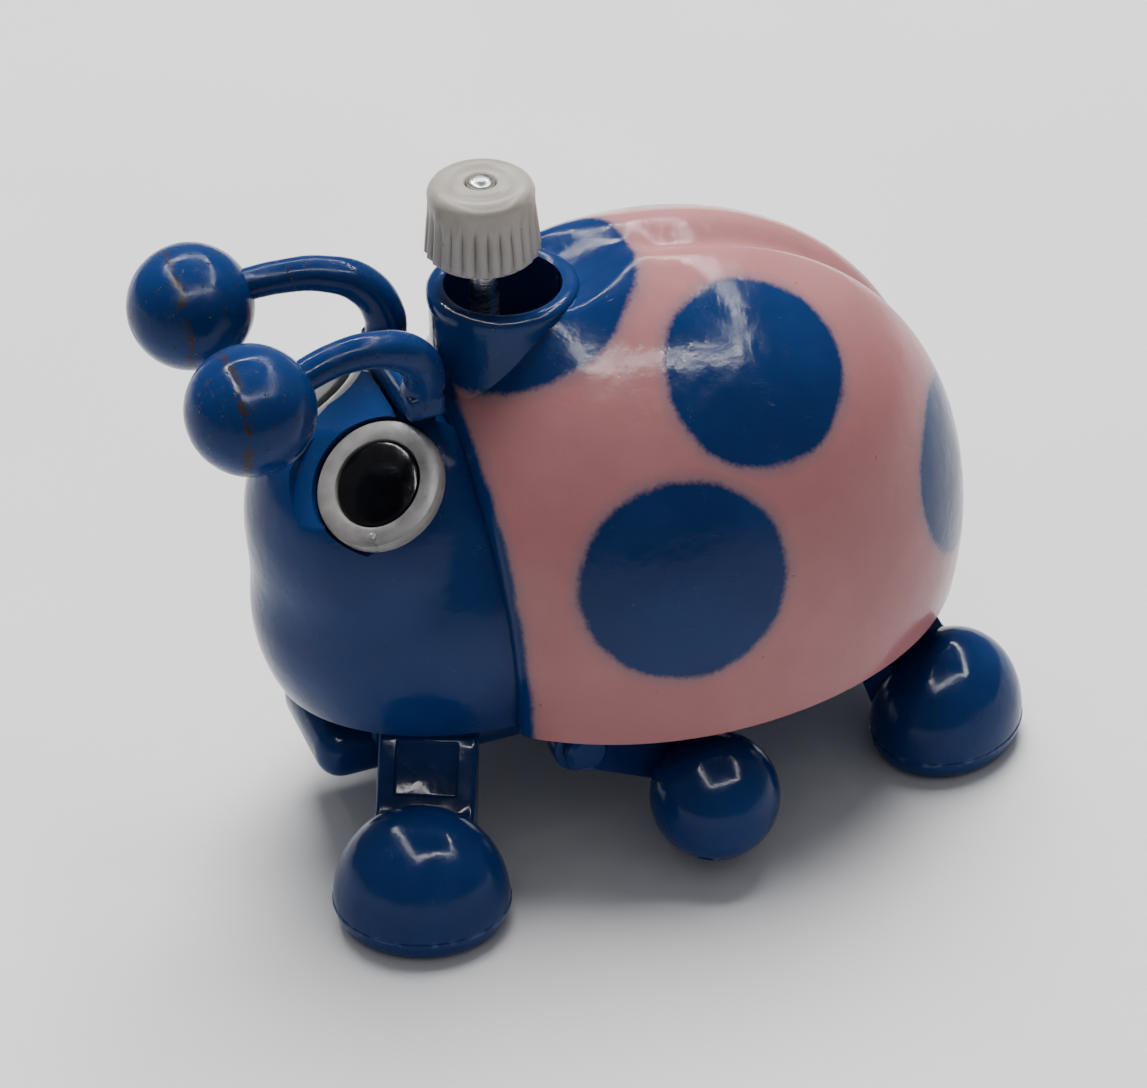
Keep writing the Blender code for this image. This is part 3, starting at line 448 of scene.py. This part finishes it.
def nylon():
    """Translucent natural nylon, darker and greyer towards its foot, with dark specks."""
    paint = Paint("nylon_knob")
    colour = paint.mix(paint.ramp(paint.noise(0.25, 3.0), 0.3, 0.7), (0.28, 0.25, 0.215),
                       (0.35, 0.33, 0.30))
    # The lower part of the knob is mixed darker and greyer, fading out towards its top.
    low = paint.ramp(paint.axes()[2], KNOB_Z[1] - 1.6, KNOB_Z[0] + 0.4)
    colour = paint.mix(paint.maths("MULTIPLY", low, 0.55), colour, (0.26, 0.245, 0.26))
    specks = paint.ramp(paint.noise(1.5, 4.0), 0.68, 0.73)
    colour = paint.mix(paint.maths("MULTIPLY", specks, 0.5), colour, (0.10, 0.10, 0.13))
    rough = paint.ramp(paint.noise(1.0, 3.0), 0.3, 0.7, 0.28, 0.45)
    made = paint.finish(colour, rough, [(paint.noise(0.8, 3.0), 0.03), (paint.noise(5.0), 0.008)],
                        Subsurface_Weight=0.55, Subsurface_Scale=0.0022)
    paint.shader.inputs["Subsurface Radius"].default_value = (1.0, 0.85, 0.6)
    return made


def plain(name, deep, light, roughness, stretch=(1.0, 1.0, 1.0), grime=0.3, **constants):
    """A simple finish: two tones, grain along one direction, grime specks and fine bump."""
    paint = Paint(name)
    grain = paint.noise(0.9, 4.0, stretch)
    colour = paint.mix(paint.ramp(grain, 0.3, 0.7), deep, light)
    specks = paint.ramp(paint.noise(1.3, 5.0), 0.66, 0.74)
    colour = paint.mix(paint.maths("MULTIPLY", specks, grime), colour, DIRT)
    rough = paint.ramp(paint.noise(1.1, 3.0, stretch), 0.3, 0.7, roughness * 0.75, roughness * 1.3)
    return paint.finish(colour, rough, [(grain, 0.012), (paint.noise(3.0), 0.006)], **constants)


SHELL_FINISH = sprayed_shell()
BLUE = blue_plastic("blue_plastic_gloss")
BLUE_FOOT = blue_plastic("blue_plastic_foot", 0.15, PARTING_Z)
BLUE_DIRTY = blue_plastic("blue_plastic_handled", 1.0, dirt_line=DIRT_LINE_Y)
NYLON = nylon()
WHITE = plain("eye_white", (0.165, 0.158, 0.152), (0.215, 0.207, 0.200), 0.36, grime=0.45)
BLACK = plain("pupil_black", (0.002, 0.002, 0.003), (0.003, 0.003, 0.004), 0.12, grime=0.1,
              Specular_IOR_Level=0.2)
IVORY = plain("ivory_acetal", (0.50, 0.47, 0.38), (0.64, 0.61, 0.52), 0.45)
STEEL = plain("turned_steel", (0.42, 0.42, 0.43), (0.62, 0.62, 0.63), 0.28, (1.0, 1.0, 9.0),
              Metallic=1.0)
SPRING = plain("spring_strip", (0.16, 0.17, 0.21), (0.30, 0.31, 0.34), 0.35, (1.0, 1.0, 7.0),
               Metallic=1.0)
BRASS = plain("stamped_brass", (0.50, 0.34, 0.13), (0.68, 0.50, 0.23), 0.33, (6.0, 1.0, 1.0),
              Metallic=1.0)


# ---------------------------------------------------------------- carapace

def groove(x, y, z):
    """Depth of the groove between the wing cases, fading out forward and at the rim."""
    fade_in = min(1.0, max(0.0, (y - GROOVE_START_Y) / 5.0))
    fade_out = min(1.0, max(0.0, (z - RIM_Z) / 6.0))
    return GROOVE_DEPTH * fade_in * fade_out * math.exp(-((x / GROOVE_WIDTH) ** 2))


def swell(x, y):
    """How far the shell rises round the collar, fading to nothing at its front edge."""
    away = (x - SWELL_XY[0]) ** 2 + (y - SWELL_XY[1]) ** 2
    return SWELL * math.exp(-away / SWELL_R ** 2) * min(1.0, max(0.0, (y - SEAM_POINT[1]) / 4.0))


def below_collar(x, y, z):
    """The shell's height held just under the collar's lip, so it runs out flush behind it."""
    away = math.hypot(x - COLLAR_XY[0], y - COLLAR_XY[1])
    limit = COLLAR_TOP_Z - 0.45 + 0.5 * max(0.0, away - COLLAR_R)
    blend = 0.35
    return min(z, limit) - blend * math.log(1.0 + math.exp(-abs(z - limit) / blend))


def shell_dome(around, along, wall=0.0, drop=0.0):
    """An ellipsoid with its poles fore and aft and more meridians near the groove."""
    bm = bmesh.new()
    bmesh.ops.create_uvsphere(bm, u_segments=around, v_segments=along, radius=1.0)
    cx, cy, cz = SHELL_CENTRE
    a, b, c = SHELL_AXES[0] - wall, SHELL_AXES[1] - wall, SHELL_AXES[2] - wall - drop
    for vert in bm.verts:
        angle = math.atan2(vert.co.x, vert.co.y)
        angle -= 0.6 * math.sin(angle)
        ring = math.hypot(vert.co.x, vert.co.y)
        reach = b if vert.co.z > 0 else SHELL_FRONT_AXIS - wall
        x, y = a * ring * math.sin(angle), cy + reach * vert.co.z
        z = cz + c * ring * math.cos(angle)
        inward = Vector((x / a ** 2, (y - cy) / b ** 2, (z - cz) / c ** 2)).normalized()
        depth = 0.0 if wall else groove(x, y, z)
        vert.co = Vector((cx + x, y, z)) - inward * depth
        if not wall and z > cz:
            vert.co.z = below_collar(x, y, vert.co.z + swell(x, y))
    return bm


def open_front(bm):
    """Cut the dome off at its leaning front edge, with that edge rounded over."""
    back = Vector((0.0, math.cos(SEAM_LEAN), math.sin(SEAM_LEAN)))
    start = Vector(SEAM_POINT)
    cut_edge = []
    for behind in (0.0, 0.04, 0.12, 0.24, 0.4, SEAM_ROUNDING):
        geometry = bm.verts[:] + bm.edges[:] + bm.faces[:]
        made = bmesh.ops.bisect_plane(bm, geom=geometry, plane_co=start + back * behind,
                                      plane_no=-back, clear_outer=not behind)["geom_cut"]
        if not behind:
            cut_edge = [item for item in made if isinstance(item, bmesh.types.BMEdge)]
    for vert in bm.verts:
        behind = (vert.co - start).dot(back)
        if behind < SEAM_ROUNDING:
            inward = Vector((-vert.co.x, 0.0, SHELL_CENTRE[2] - vert.co.z)).normalized()
            inward -= back * inward.dot(back)
            short = SEAM_ROUNDING - max(0.0, behind)
            vert.co += inward * (SEAM_ROUNDING - math.sqrt(SEAM_ROUNDING ** 2 - short ** 2))
    bmesh.ops.holes_fill(bm, edges=cut_edge)
    bmesh.ops.recalc_face_normals(bm, faces=bm.faces)
    return bm


def ray_to_ellipsoid(start, ray, centre, axes):
    scaled_start = [(s - c) / a for s, c, a in zip(start, centre, axes)]
    scaled_ray = [r / a for r, a in zip(ray, axes)]
    square = sum(r * r for r in scaled_ray)
    half = sum(s * r for s, r in zip(scaled_start, scaled_ray))
    rest = sum(s * s for s in scaled_start) - 1.0
    return (-half + math.sqrt(half * half - square * rest)) / square


def head_dome(around, along, wall=0.0):
    """Two ellipsoids blended into one head, or its hollow when a wall is given."""
    bm = bmesh.new()
    bmesh.ops.create_uvsphere(bm, u_segments=around, v_segments=along, radius=1.0)
    for vert in bm.verts:
        ray = vert.co.normalized()
        reach = [ray_to_ellipsoid(HEAD_HEART, ray, *shape) for shape in HEAD_ELLIPSOIDS]
        blended = sum(r ** HEAD_BLEND for r in reach) ** (1.0 / HEAD_BLEND)
        if wall:
            blended -= wall + CROWN_WALL * max(0.0, ray.z) ** 4
        vert.co = Vector(HEAD_HEART) + ray * blended
    return bm


def eye_frame(side):
    """The eye's own frame: its face is the plane z = 0, looking along +z."""
    normal = on_side(EYE_NORMAL, side)
    turn = Vector((0, 0, 1)).rotation_difference(normal).to_matrix().to_4x4()
    return Matrix.Translation(on_side(EYE_CENTRE, side)) @ turn


def seat_block(inset, reach_y, top):
    """A T-section block across the head: a wide saddle on a narrow tongue."""
    wide, narrow = SADDLE_HALF_WIDTH + 0.3 - inset, 3.4 - inset
    shoulder, low = SADDLE_Z[0] - 0.3 + inset, 33.0 + inset
    outline = [(-wide, top), (-wide, shoulder), (-narrow, shoulder), (-narrow, low),
               (narrow, low), (narrow, shoulder), (wide, shoulder), (wide, top)]
    bm = prism(outline, -reach_y[1], -reach_y[0])
    return moved(bm, Matrix.Rotation(math.pi / 2, 4, "X"))


def carapace():
    """Head, wing cases and collar in one hollow moulding with two screw bosses."""
    top, outer = COLLAR_TOP_Z, COLLAR_R
    lip = [(0.0, 34.0), (outer - 0.15, 34.0), (outer - 0.15, top - 1.7), (outer, top - 1.1)]
    lip += [(outer - 0.65 + 0.65 * math.cos(a), top - 0.65 + 0.65 * math.sin(a))
            for a in [math.pi / 2 * i / 6 for i in range(7)]]
    lip += [(COLLAR_BORE_R + 0.3, top), (COLLAR_BORE_R - 0.5, top - 0.4), (0.0, top - 0.4)]
    collar = moved(turned(lip), Matrix.Translation((*COLLAR_XY, 0)))
    bosses = [cylinder(BOSS_R, (0, y, BOSS_BASE_Z), (0, y, boss_top), 32)
              for y, boss_top in zip(SHELL_SCREW_Y, BOSS_TOP_Z)]
    crown = moved(box((-12, -12, 0), (12, 0.8, 9)),
                  Matrix.Translation(CROWN_EDGE) @ Matrix.Rotation(CROWN_TILT, 4, "X"))
    cuts = [shell_dome(72, 40, WALL, SHELL_CROWN_DROP), head_dome(60, 36, WALL),
            cylinder(7.2, (0, -11.0, 5.0), (0, -11.0, 28.2), 48),
            box((-30, -40, -20), (30, 40, RIM_Z)),
            cylinder(COLLAR_BORE_R, (*COLLAR_XY, 30), (*COLLAR_XY, 50), 96),
            seat_block(0.0, (-15.5, -11.4), 41.0), crown]
    for side, _ in SIDES:
        cuts.append(moved(cylinder(6.3, (0, 0, 0.2), (0, 0, 8), 72), eye_frame(side)))
        socket = cylinder(EYE_R + 0.22, (0, 0, -EYE_THICKNESS - 0.3), (0, 0, 3), 96)
        cuts.append(moved(socket, eye_frame(side)))
    holes = [cylinder(SCREW_BORE_R, (0, y, 9.0), (0, y, 18.0), 24) for y in SHELL_SCREW_Y]
    body = moulding("shell_and_head", open_front(shell_dome(168, 96)),
                    [head_dome(128, 88), collar], cuts)
    bossed = moulding("carapace", bmesh_of(body), bosses, holes)
    show(bossed, "body", ["body_shell"], "sprayed_shell", SHELL_FINISH, BLUE)
    # Inside faces are bare blue. The floor of the groove at the rear lies as deep, so it is blue too.
    hollow = [axis - WALL + INSIDE_SKIN for axis in SHELL_AXES]
    hollow[2] -= SHELL_CROWN_DROP
    for face in bossed.data.polygons:
        reach = sum(((p / MM - c) / a) ** 2 for p, c, a in zip(face.center, SHELL_CENTRE, hollow))
        face.material_index = 1 if reach < 1.0 else 0


# ---------------------------------------------------------------- eyes, feelers and knob

def eyes():
    for side, word in SIDES:
        spot = eye_frame(side)
        rim, inner = EYE_R, PUPIL_R + 0.12
        ring = turned([(0, -EYE_THICKNESS), (rim - 0.1, -EYE_THICKNESS), (rim, -1.1), (rim, -0.3),
                       (rim - 0.08, -0.1), (rim - 0.28, 0.0), (inner + 0.25, 0.03),
                       (inner + 0.06, -0.03), (inner, -0.15), (inner, -0.7), (0, -0.7)])
        nub = ball((NUB_XY[0] * side, NUB_XY[1], -0.02), 0.38, 24, 16)
        bmesh.ops.scale(nub, verts=nub.verts, vec=(1, 1, 0.6))
        piece = moulding(f"{word}_eye_white", moved(ring, spot), [moved(nub, spot)])
        show(piece, "body", [f"{word}_eye_ring"], "white_plastic", WHITE)
        disc = turned([(0, -0.62), (PUPIL_R, -0.62), (PUPIL_R, -0.2), (PUPIL_R - 0.08, -0.08),
                       (PUPIL_R - 0.3, -0.02), (1.5, 0.02), (0, 0.04)])
        show(raw_object(f"{word}_eye_pupil", moved(disc, spot)), "body", [f"{word}_pupil"],
             "black_plastic", BLACK)


def antennae():
    saddle = rounded(seat_block(0.3, SADDLE_Y, SADDLE_Z[1]), 0.45, 4)
    joins = []
    for side, _ in SIDES:
        joins.append(mirrored(tube(FEELER_PATH, FEELER_RADII), side))
        joins.append(mirrored(ball(FEELER_BALL, FEELER_BALL_R), side))
        neck = Vector(FEELER_PATH[-1])
        heading = neck - Vector(FEELER_PATH[-2])
        turn = Vector((0, 0, 1)).rotation_difference(heading).to_matrix().to_4x4()
        flare = turned([(0, -1.6), (1.13, -1.6), (1.2, -0.9), (1.45, -0.3), (1.9, 0.3), (0, 0.3)], 40)
        joins.append(mirrored(moved(flare, Matrix.Translation(neck + heading * 0.08) @ turn), side))
    feelers = moulding("feelers", saddle, joins)
    show(feelers, "body", ["antennae"], "blue_plastic", BLUE_DIRTY)


def knob_ribs(radius, height, angle):
    """Shallow valleys between the ribs that run out below the smooth upper band."""
    if radius < 3.5 or height < KNOB_Z[0] + 0.35:
        return radius
    fade = min(1.0, max(0.0, (KNOB_Z[1] - 1.5 - height) / 1.3))
    valley = 1.0 - abs(math.sin(angle * KNOB_RIBS / 2)) ** 0.8
    return radius - 0.32 * fade * valley


def winding():
    low, high = KNOB_Z
    profile = [(1.1, low), (3.5, low), (3.75, low + 0.12), (3.95, low + 0.36)]
    profile += [(4.12 - 0.035 * i, low + 0.5 + 0.35 * i) for i in range(12)]
    profile += [(3.78 - 0.95 * (1 - math.cos(a)), high - 0.95 + 0.95 * math.sin(a))
                for a in [math.pi / 2 * i / 8 for i in range(1, 9)]]
    profile += [(2.35, high), (2.2, high - 0.09), (2.05, high - 0.09), (1.95, high),
                (1.3, high + 0.02), (1.15, high - 0.06), (1.1, high - 0.3)]
    knob = moved(turned(profile, KNOB_RIBS * 12, knob_ribs), Matrix.Translation((*ARBOR_XY, 0)))
    show(raw_object("knob", knob), "winding", ["winding_knob"], "nylon", NYLON, sharp=60)
    top = high + 0.33
    shaft = [(0, 18.6), (0.85, 18.6), (1.0, 18.75), (1.0, top - 0.42)]
    shaft += [(math.cos(a), top - 0.42 + 0.42 * math.sin(a))
              for a in [math.pi / 2 * i / 6 for i in range(1, 6)]]
    pin = moved(turned(shaft + [(0, top)], 48), Matrix.Translation((*ARBOR_XY, 0)))
    show(raw_object("winding_shaft", pin), "winding", ["winding_arbor"], "steel", STEEL)


# ---------------------------------------------------------------- legs and chassis

def foot():
    """A domed foot on a flat sole, with the parting line of its mould standing proud."""
    profile = [(0.0, 0.0), (0.80, 0.0), (0.86, 0.08), (0.925, 0.45), (0.965, 1.0), (0.985, 1.5),
               (0.988, PARTING_Z - 0.14), (1.0, PARTING_Z - 0.05), (1.0, PARTING_Z + 0.05),
               (0.988, PARTING_Z + 0.14)]
    steps = 26
    for i in range(1, steps + 1):
        angle = math.pi / 2 * i / steps
        rise = (FOOT_HEIGHT - PARTING_Z - 0.14) * math.sin(angle)
        profile.append((0.988 * math.cos(angle) if i < steps else 0.0, PARTING_Z + 0.14 + rise))
    bm = turned(profile, 96)
    bmesh.ops.scale(bm, verts=bm.verts, vec=(FOOT_SHORT, FOOT_LONG, 1.0))
    return bm


def strut(tab):
    """A web from the tab (at -STRUT_REACH) out and down into the foot, flaring at its end."""
    inner = -STRUT_REACH - tab
    side_view = [(inner, 9.9), (inner, 11.3), (-STRUT_REACH, 11.3), (-7.3, 11.22), (-6.8, 11.0),
                 (-6.3, 10.55), (-5.4, 9.5), (-3.9, 7.75), (-3.3, 7.15), (-2.6, 6.9), (-1.6, 6.8),
                 (-1.6, 2.6), (-4.6, 2.6), (-7.6, 7.8), (-8.05, 8.7), (-8.45, 9.45), (-8.8, 9.9)]
    bm = prism(side_view, -STRUT_WIDTH / 2, STRUT_WIDTH / 2)
    moved(bm, Matrix.Rotation(math.pi / 2, 4, "X"))
    return rounded(bm, 0.38, 4, 55.0)


def strut_panel():
    """The block that sinks a shallow panel into the strut's sloping outer face."""
    length, slope = 4.1, math.atan2(-4.9, 4.4)
    bm = rounded(box((-length / 2, -2.35, -0.32), (length / 2, 2.35, 1.5)), 0.25, 3)
    middle = Vector((-5.35, 0.0, 9.42))
    return moved(bm, Matrix.Translation(middle) @ Matrix.Rotation(-slope, 4, "Y"))


def legs():
    place = Matrix.Translation((*FRONT_PIVOT, 0))
    hub = rounded(cylinder(3.6, (0, 0, 9.85), (0, 0, 11.35), 72), 0.2)
    joins, cuts = [], [cylinder(LEG_BORE_R, (*FRONT_PIVOT, 9), (*FRONT_PIVOT, 12), 32)]
    for side, turn in ((LEFT, -FRONT_SWING), (RIGHT, 0.0)):
        out = place @ Matrix.Rotation(turn, 4, "Z") @ Matrix.Translation((FRONT_REACH, 0, 0))
        for shape in (strut(FRONT_REACH - STRUT_REACH - 0.5), foot()):
            joins.append(mirrored(moved(shape, out), side))
        cuts.append(mirrored(moved(strut_panel(), out), side))
    bar = moulding("front_leg_bar", moved(hub, place), joins, cuts)
    show(bar, "front_bar", ["front_legs"], "blue_plastic", BLUE_FOOT)
    for side, word in SIDES:
        out = Matrix.Translation((*REAR_FOOT, 0)) @ Matrix.Rotation(REAR_TURN, 4, "Z")
        hole = out @ Vector((-REAR_SCREW_REACH, 0, 0))
        cuts = [strut_panel(), cylinder(LEG_BORE_R, (-REAR_SCREW_REACH, 0, 9),
                                        (-REAR_SCREW_REACH, 0, 12), 32)]
        cuts = [moved(shape, out) for shape in cuts]
        cuts.append(box((-9, REAR_FOOT[1] - 12, -1), (0.15, REAR_FOOT[1] + 12, 20)))
        leg = moulding(f"rear_{word}_foot", mirrored(moved(foot(), out), side),
                       [mirrored(moved(strut(REAR_TAB), out), side)],
                       [mirrored(shape, side) for shape in cuts])
        show(leg, "body", [f"rear_{word}_leg"], "blue_plastic", BLUE_FOOT)
        screw(f"rear_{word}_screw", (hole.x * side, hole.y), 11.6, 5.0, 1,
              f"rear_{word}_leg_screw")
    screw("front_pivot_screw", FRONT_PIVOT, 11.6, 5.0, 1, "front_leg_pivot_screw")


def screw(name, place, head_z, length, up, node):
    """A pan-head screw with a cross recess and a threaded shank."""
    thread = []
    for i in range(int(length / 0.5)):
        thread += [(0.9, 0.1 + 0.5 * i), (0.72, 0.35 + 0.5 * i)]
    head = [(1.85 - 0.6 * (1 - math.cos(a)), length + 0.4 + 0.6 * math.sin(a))
            for a in [math.pi / 2 * i / 6 for i in range(7)]]
    profile = [(0, 0), (0.6, 0)] + thread + [(0.9, length - 0.02), (1.8, length),
                                             (1.85, length + 0.1)] + head + [(0, length + 1.0)]
    cross = [box((-1.1, -0.2, length + 0.55), (1.1, 0.2, length + 3)),
             box((-0.2, -1.1, length + 0.55), (0.2, 1.1, length + 3))]
    stand = Matrix.Translation((*place, head_z - up * length))
    if up < 0:
        stand = stand @ Matrix.Rotation(math.pi, 4, "X")
    obj = moulding(name, moved(turned(profile, 40), stand), (), [moved(c, stand) for c in cross])
    show(obj, "body", [node], "steel", STEEL)


def link_plate(start, start_r, end, end_r, x0, x1, steps=16):
    """A plate across x0 to x1 whose outline wraps two circles in the y-z plane."""
    (y0, z0), (y1, z1) = start, end
    heading = math.atan2(z1 - z0, y1 - y0)
    spread = math.acos((start_r - end_r) / math.hypot(y1 - y0, z1 - z0))
    outline = []
    for i in range(steps + 1):
        angle = heading - spread + 2 * spread * i / steps
        outline.append((y1 + end_r * math.cos(angle), z1 + end_r * math.sin(angle)))
    for i in range(steps + 1):
        angle = heading + spread + (math.tau - 2 * spread) * i / steps
        outline.append((y0 + start_r * math.cos(angle), z0 + start_r * math.sin(angle)))
    bm = prism(outline, x0, x1)
    return moved(bm, Matrix(((0, 0, 1, 0), (1, 0, 0, 0), (0, 1, 0, 0), (0, 0, 0, 1))))


def middle_legs():
    py, pz = ROCK_YZ
    by, bz = MIDDLE_BALL.y, MIDDLE_BALL.z
    x0, x1 = LEVER_X
    knots = ((py, pz, 2.0), (*CRANK_YZ, 2.45), (by, bz, 2.2))
    for side, word in SIDES:
        joins = [rounded(link_plate(a[:2], a[2], b[:2], b[2], x0 + 0.02, x1 - 0.02), 0.3)
                 for a, b in ((knots[0], knots[1]), (knots[0], knots[2]), (knots[1], knots[2]))]
        hub = rounded(cylinder(2.3, (x0, py, pz), (x1, py, pz), 48), 0.2)
        neck = turned([(0, 0), (2.5, 0), (2.35, 0.3), (2.3, 1.2), (2.6, 2.0), (0, 2.0)], 48)
        along_x = Matrix.Translation((x0 + 0.6, by, bz)) @ Matrix.Rotation(math.pi / 2, 4, "Y")
        joins += [moved(neck, along_x), ball(MIDDLE_BALL, MIDDLE_BALL_R)]
        gate = Vector((0.62, -0.42, -0.66)).normalized()
        dimple = ball(MIDDLE_BALL + gate * (MIDDLE_BALL_R + 0.55), 0.95, 32, 20)
        slot = link_plate((0.4, 12.0), 1.5, (1.4, 12.0), 1.5001, x0 - 1, x1 + 1)
        bore = cylinder(SCREW_BORE_R, (x0 - 1, py, pz), (x1 + 1, py, pz), 32)
        leg = moulding(f"{word}_ball_foot", mirrored(hub, side),
                       [mirrored(shape, side) for shape in joins],
                       [mirrored(shape, side) for shape in (slot, bore, dimple)])
        show(leg, f"{word}_rocker", [f"{word}_middle_leg"], "blue_plastic", BLUE)
        end = x1 + 0.3
        pin = turned([(0, 5.9), (0.8, 5.9), (0.9, 6.0), (0.9, end), (1.65, end), (1.7, end + 0.1),
                      (1.62, end + 0.45), (1.25, end + 0.75), (0.6, end + 0.8), (0, end + 0.7)], 48)
        turn = Matrix.Translation((0, py, pz)) @ Matrix.Rotation(math.pi / 2, 4, "Y")
        show(raw_object(f"{word}_rocking_pin", mirrored(moved(pin, turn), side)), "body",
             [f"{word}_leg_pin"], "blue_plastic", BLUE)


def chassis():
    outline = list(PLATE_OUTLINE) + [(-x, y) for x, y in reversed(PLATE_OUTLINE)]
    front, rear = SHELL_SCREW_Y
    rear_hole = Matrix.Translation((*REAR_FOOT, 0)) @ Matrix.Rotation(REAR_TURN, 4, "Z")
    rear_hole = rear_hole @ Vector((-REAR_SCREW_REACH, 0, 0))
    screws = (FRONT_PIVOT, (rear_hole.x, rear_hole.y), (-rear_hole.x, rear_hole.y))
    nose = rounded(box(*NOSE_BOX), 2.0, 8)
    joins = [nose, rounded(cylinder(2.25, (0, rear, 8.0), (0, rear, 9.55), 48), 0.2)]
    cuts = []
    for x, y in screws:
        joins.append(rounded(cylinder(1.55, (x, y, 5.6), (x, y, 8.6), 40), 0.15))
        cuts.append(cylinder(SCREW_BORE_R, (x, y, 5.0), (x, y, 10.5), 32))
    for y in SHELL_SCREW_Y:
        cuts.append(cylinder(SCREW_BORE_R, (0, y, 4.0), (0, y, 12.0), 32))
    cuts.append(cylinder(2.3, (0, front, 4.0), (0, front, 8.4), 48))
    for side, _ in SIDES:
        y, z = ROCK_YZ
        joins.append(mirrored(rounded(box((5.6, y - 2.2, 8.6), (8.9, y + 2.2, z + 2.2)), 0.5, 4),
                              side))
        cuts.append(mirrored(cylinder(SCREW_BORE_R, (5.0, y, z), (9.6, y, z), 32), side))
        rib = rounded(box((4.2, -8.0, 7.4), (4.9, 9.0, 8.3)), 0.15, 2)
        joins.append(mirrored(rib, side))
    for y in (-8.0, 0.5, 8.6):
        joins.append(rounded(box((-4.6, y, 7.4), (4.6, y + 0.7, 8.3)), 0.15, 2))
    plate = moulding("floor_plate", rounded(prism(outline, *PLATE_Z), 0.25), joins, cuts)
    show(plate, "body", ["chassis"], "blue_plastic", BLUE)
    screw("nose_screw", (0, front), 8.1, 7.0, -1, "front_shell_screw")
    screw("tail_screw", (0, rear), 7.7, 7.0, -1, "rear_shell_screw")


# ---------------------------------------------------------------- movement

CAD_FINISHES = {"ivory_plastic": IVORY, "brass": BRASS, "steel": STEEL, "spring_steel": SPRING,
                "blue_plastic": BLUE, "white_plastic": WHITE, "black_plastic": BLACK,
                "nylon": NYLON, "sprayed_shell": SHELL_FINISH}


def finish_movement():
    """The clockwork keeps its CAD shapes, with stamped or moulded edges eased."""
    slots = {row["node"]: row["material_slot"] for row in frame["record"]["subparts"]}
    for name, node in frame["nodes"].items():
        node.data.materials.clear()
        node.data.materials.append(CAD_FINISHES[slots[name]])
        eased = node.modifiers.new("Eased edges", "BEVEL")
        eased.width = 0.06 * MM
        eased.segments = 2
        eased.limit_method = "ANGLE"
        eased.angle_limit = math.radians(40)


# ---------------------------------------------------------------- stage

def floor():
    """A plain pale sheet, far wider than the toy."""
    bm = bmesh.new()
    bmesh.ops.create_grid(bm, x_segments=2, y_segments=2, size=1500.0)
    sheet = raw_object("floor", bm)
    paint = Paint("paper")
    tone = paint.mix(paint.ramp(paint.noise(0.02, 2.0), 0.3, 0.7), (0.67, 0.67, 0.685),
                     (0.71, 0.71, 0.71))
    fleck = paint.ramp(paint.noise(0.9, 2.0), 0.8, 0.83)
    tone = paint.mix(paint.maths("MULTIPLY", fleck, 0.5), tone, (0.3, 0.3, 0.3))
    finish = paint.finish(tone, paint.ramp(paint.noise(0.5), 0.3, 0.7, 0.55, 0.7),
                          [(paint.noise(1.5), 0.01)])
    sheet.data.materials.append(finish)


def area_light(name, place, size, power):
    """A rectangular white light facing straight down; size is (x, y)."""
    data = bpy.data.lights.new(name, "AREA")
    data.shape = "RECTANGLE"
    data.size, data.size_y = size
    data.energy = power
    light = bpy.data.objects.new(name, data)
    light.location = place
    light.rotation_mode = "QUATERNION"
    bpy.context.scene.collection.objects.link(light)
    return light


# Lights and camera are in metres and watts. The ring shows in glosses only, the ceiling in none.
RING_CENTRE = (-0.04, 0.06, 0.50)
RING_HALF = (0.36, 0.27)
RING_WIDTH, RING_POWER = 0.008, 3.4
CEILING_PLACE, CEILING_TARGET = Vector((-0.34, 0.10, 0.78)), Vector((0.0, 0.0, 0.02))
CEILING_SIZE, CEILING_POWER = 0.5, 17.5
SKY_COLOUR, SKY_STRENGTH = (0.93, 0.95, 1.0, 1.0), 0.28
CAMERA_PLACE = (0.20156, -0.07841, 0.17773)
CAMERA_RIGHT, CAMERA_UP = Vector((0.36753, 0.92991, -0.01382)), Vector((-0.54942, 0.22909, 0.80352))
CAMERA_BACK = Vector((0.75037, -0.28773, 0.59511))
CAMERA_SENSOR_MM, CAMERA_LENS_MM = 36.0, 112.99


def lighting():
    cx, cy, cz = RING_CENTRE
    half_x, half_y = RING_HALF
    for i, (dx, dy, long_x, long_y) in enumerate(((0, half_y, 2 * half_x, RING_WIDTH),
                                                  (0, -half_y, 2 * half_x, RING_WIDTH),
                                                  (half_x, 0, RING_WIDTH, 2 * half_y),
                                                  (-half_x, 0, RING_WIDTH, 2 * half_y))):
        place = (cx + dx, cy + dy, cz)
        strip = area_light(f"ring_{i}", place, (long_x, long_y), RING_POWER)
        strip.visible_diffuse = False
    ceiling = area_light("ceiling", CEILING_PLACE, (CEILING_SIZE, CEILING_SIZE), CEILING_POWER)
    ceiling.rotation_quaternion = (CEILING_TARGET - CEILING_PLACE).to_track_quat("-Z", "Y")
    ceiling.visible_glossy = False
    world = bpy.data.worlds.new("studio")
    world.use_nodes = True
    sky = world.node_tree.nodes["Background"]
    sky.inputs["Color"].default_value = SKY_COLOUR
    sky.inputs["Strength"].default_value = SKY_STRENGTH
    bpy.context.scene.world = world


def camera():
    data = bpy.data.cameras.new("camera")
    data.sensor_width = CAMERA_SENSOR_MM
    data.lens = CAMERA_LENS_MM
    data.clip_start = 0.01
    data.clip_end = 20.0
    turn = Matrix((CAMERA_RIGHT, CAMERA_UP, CAMERA_BACK)).transposed().to_4x4()
    eye = bpy.data.objects.new("camera", data)
    eye.matrix_world = Matrix.Translation(CAMERA_PLACE) @ turn
    bpy.context.scene.collection.objects.link(eye)
    bpy.context.scene.camera = eye


finish_movement()
carapace()
eyes()
antennae()
winding()
legs()
middle_legs()
chassis()
floor()
lighting()
camera()
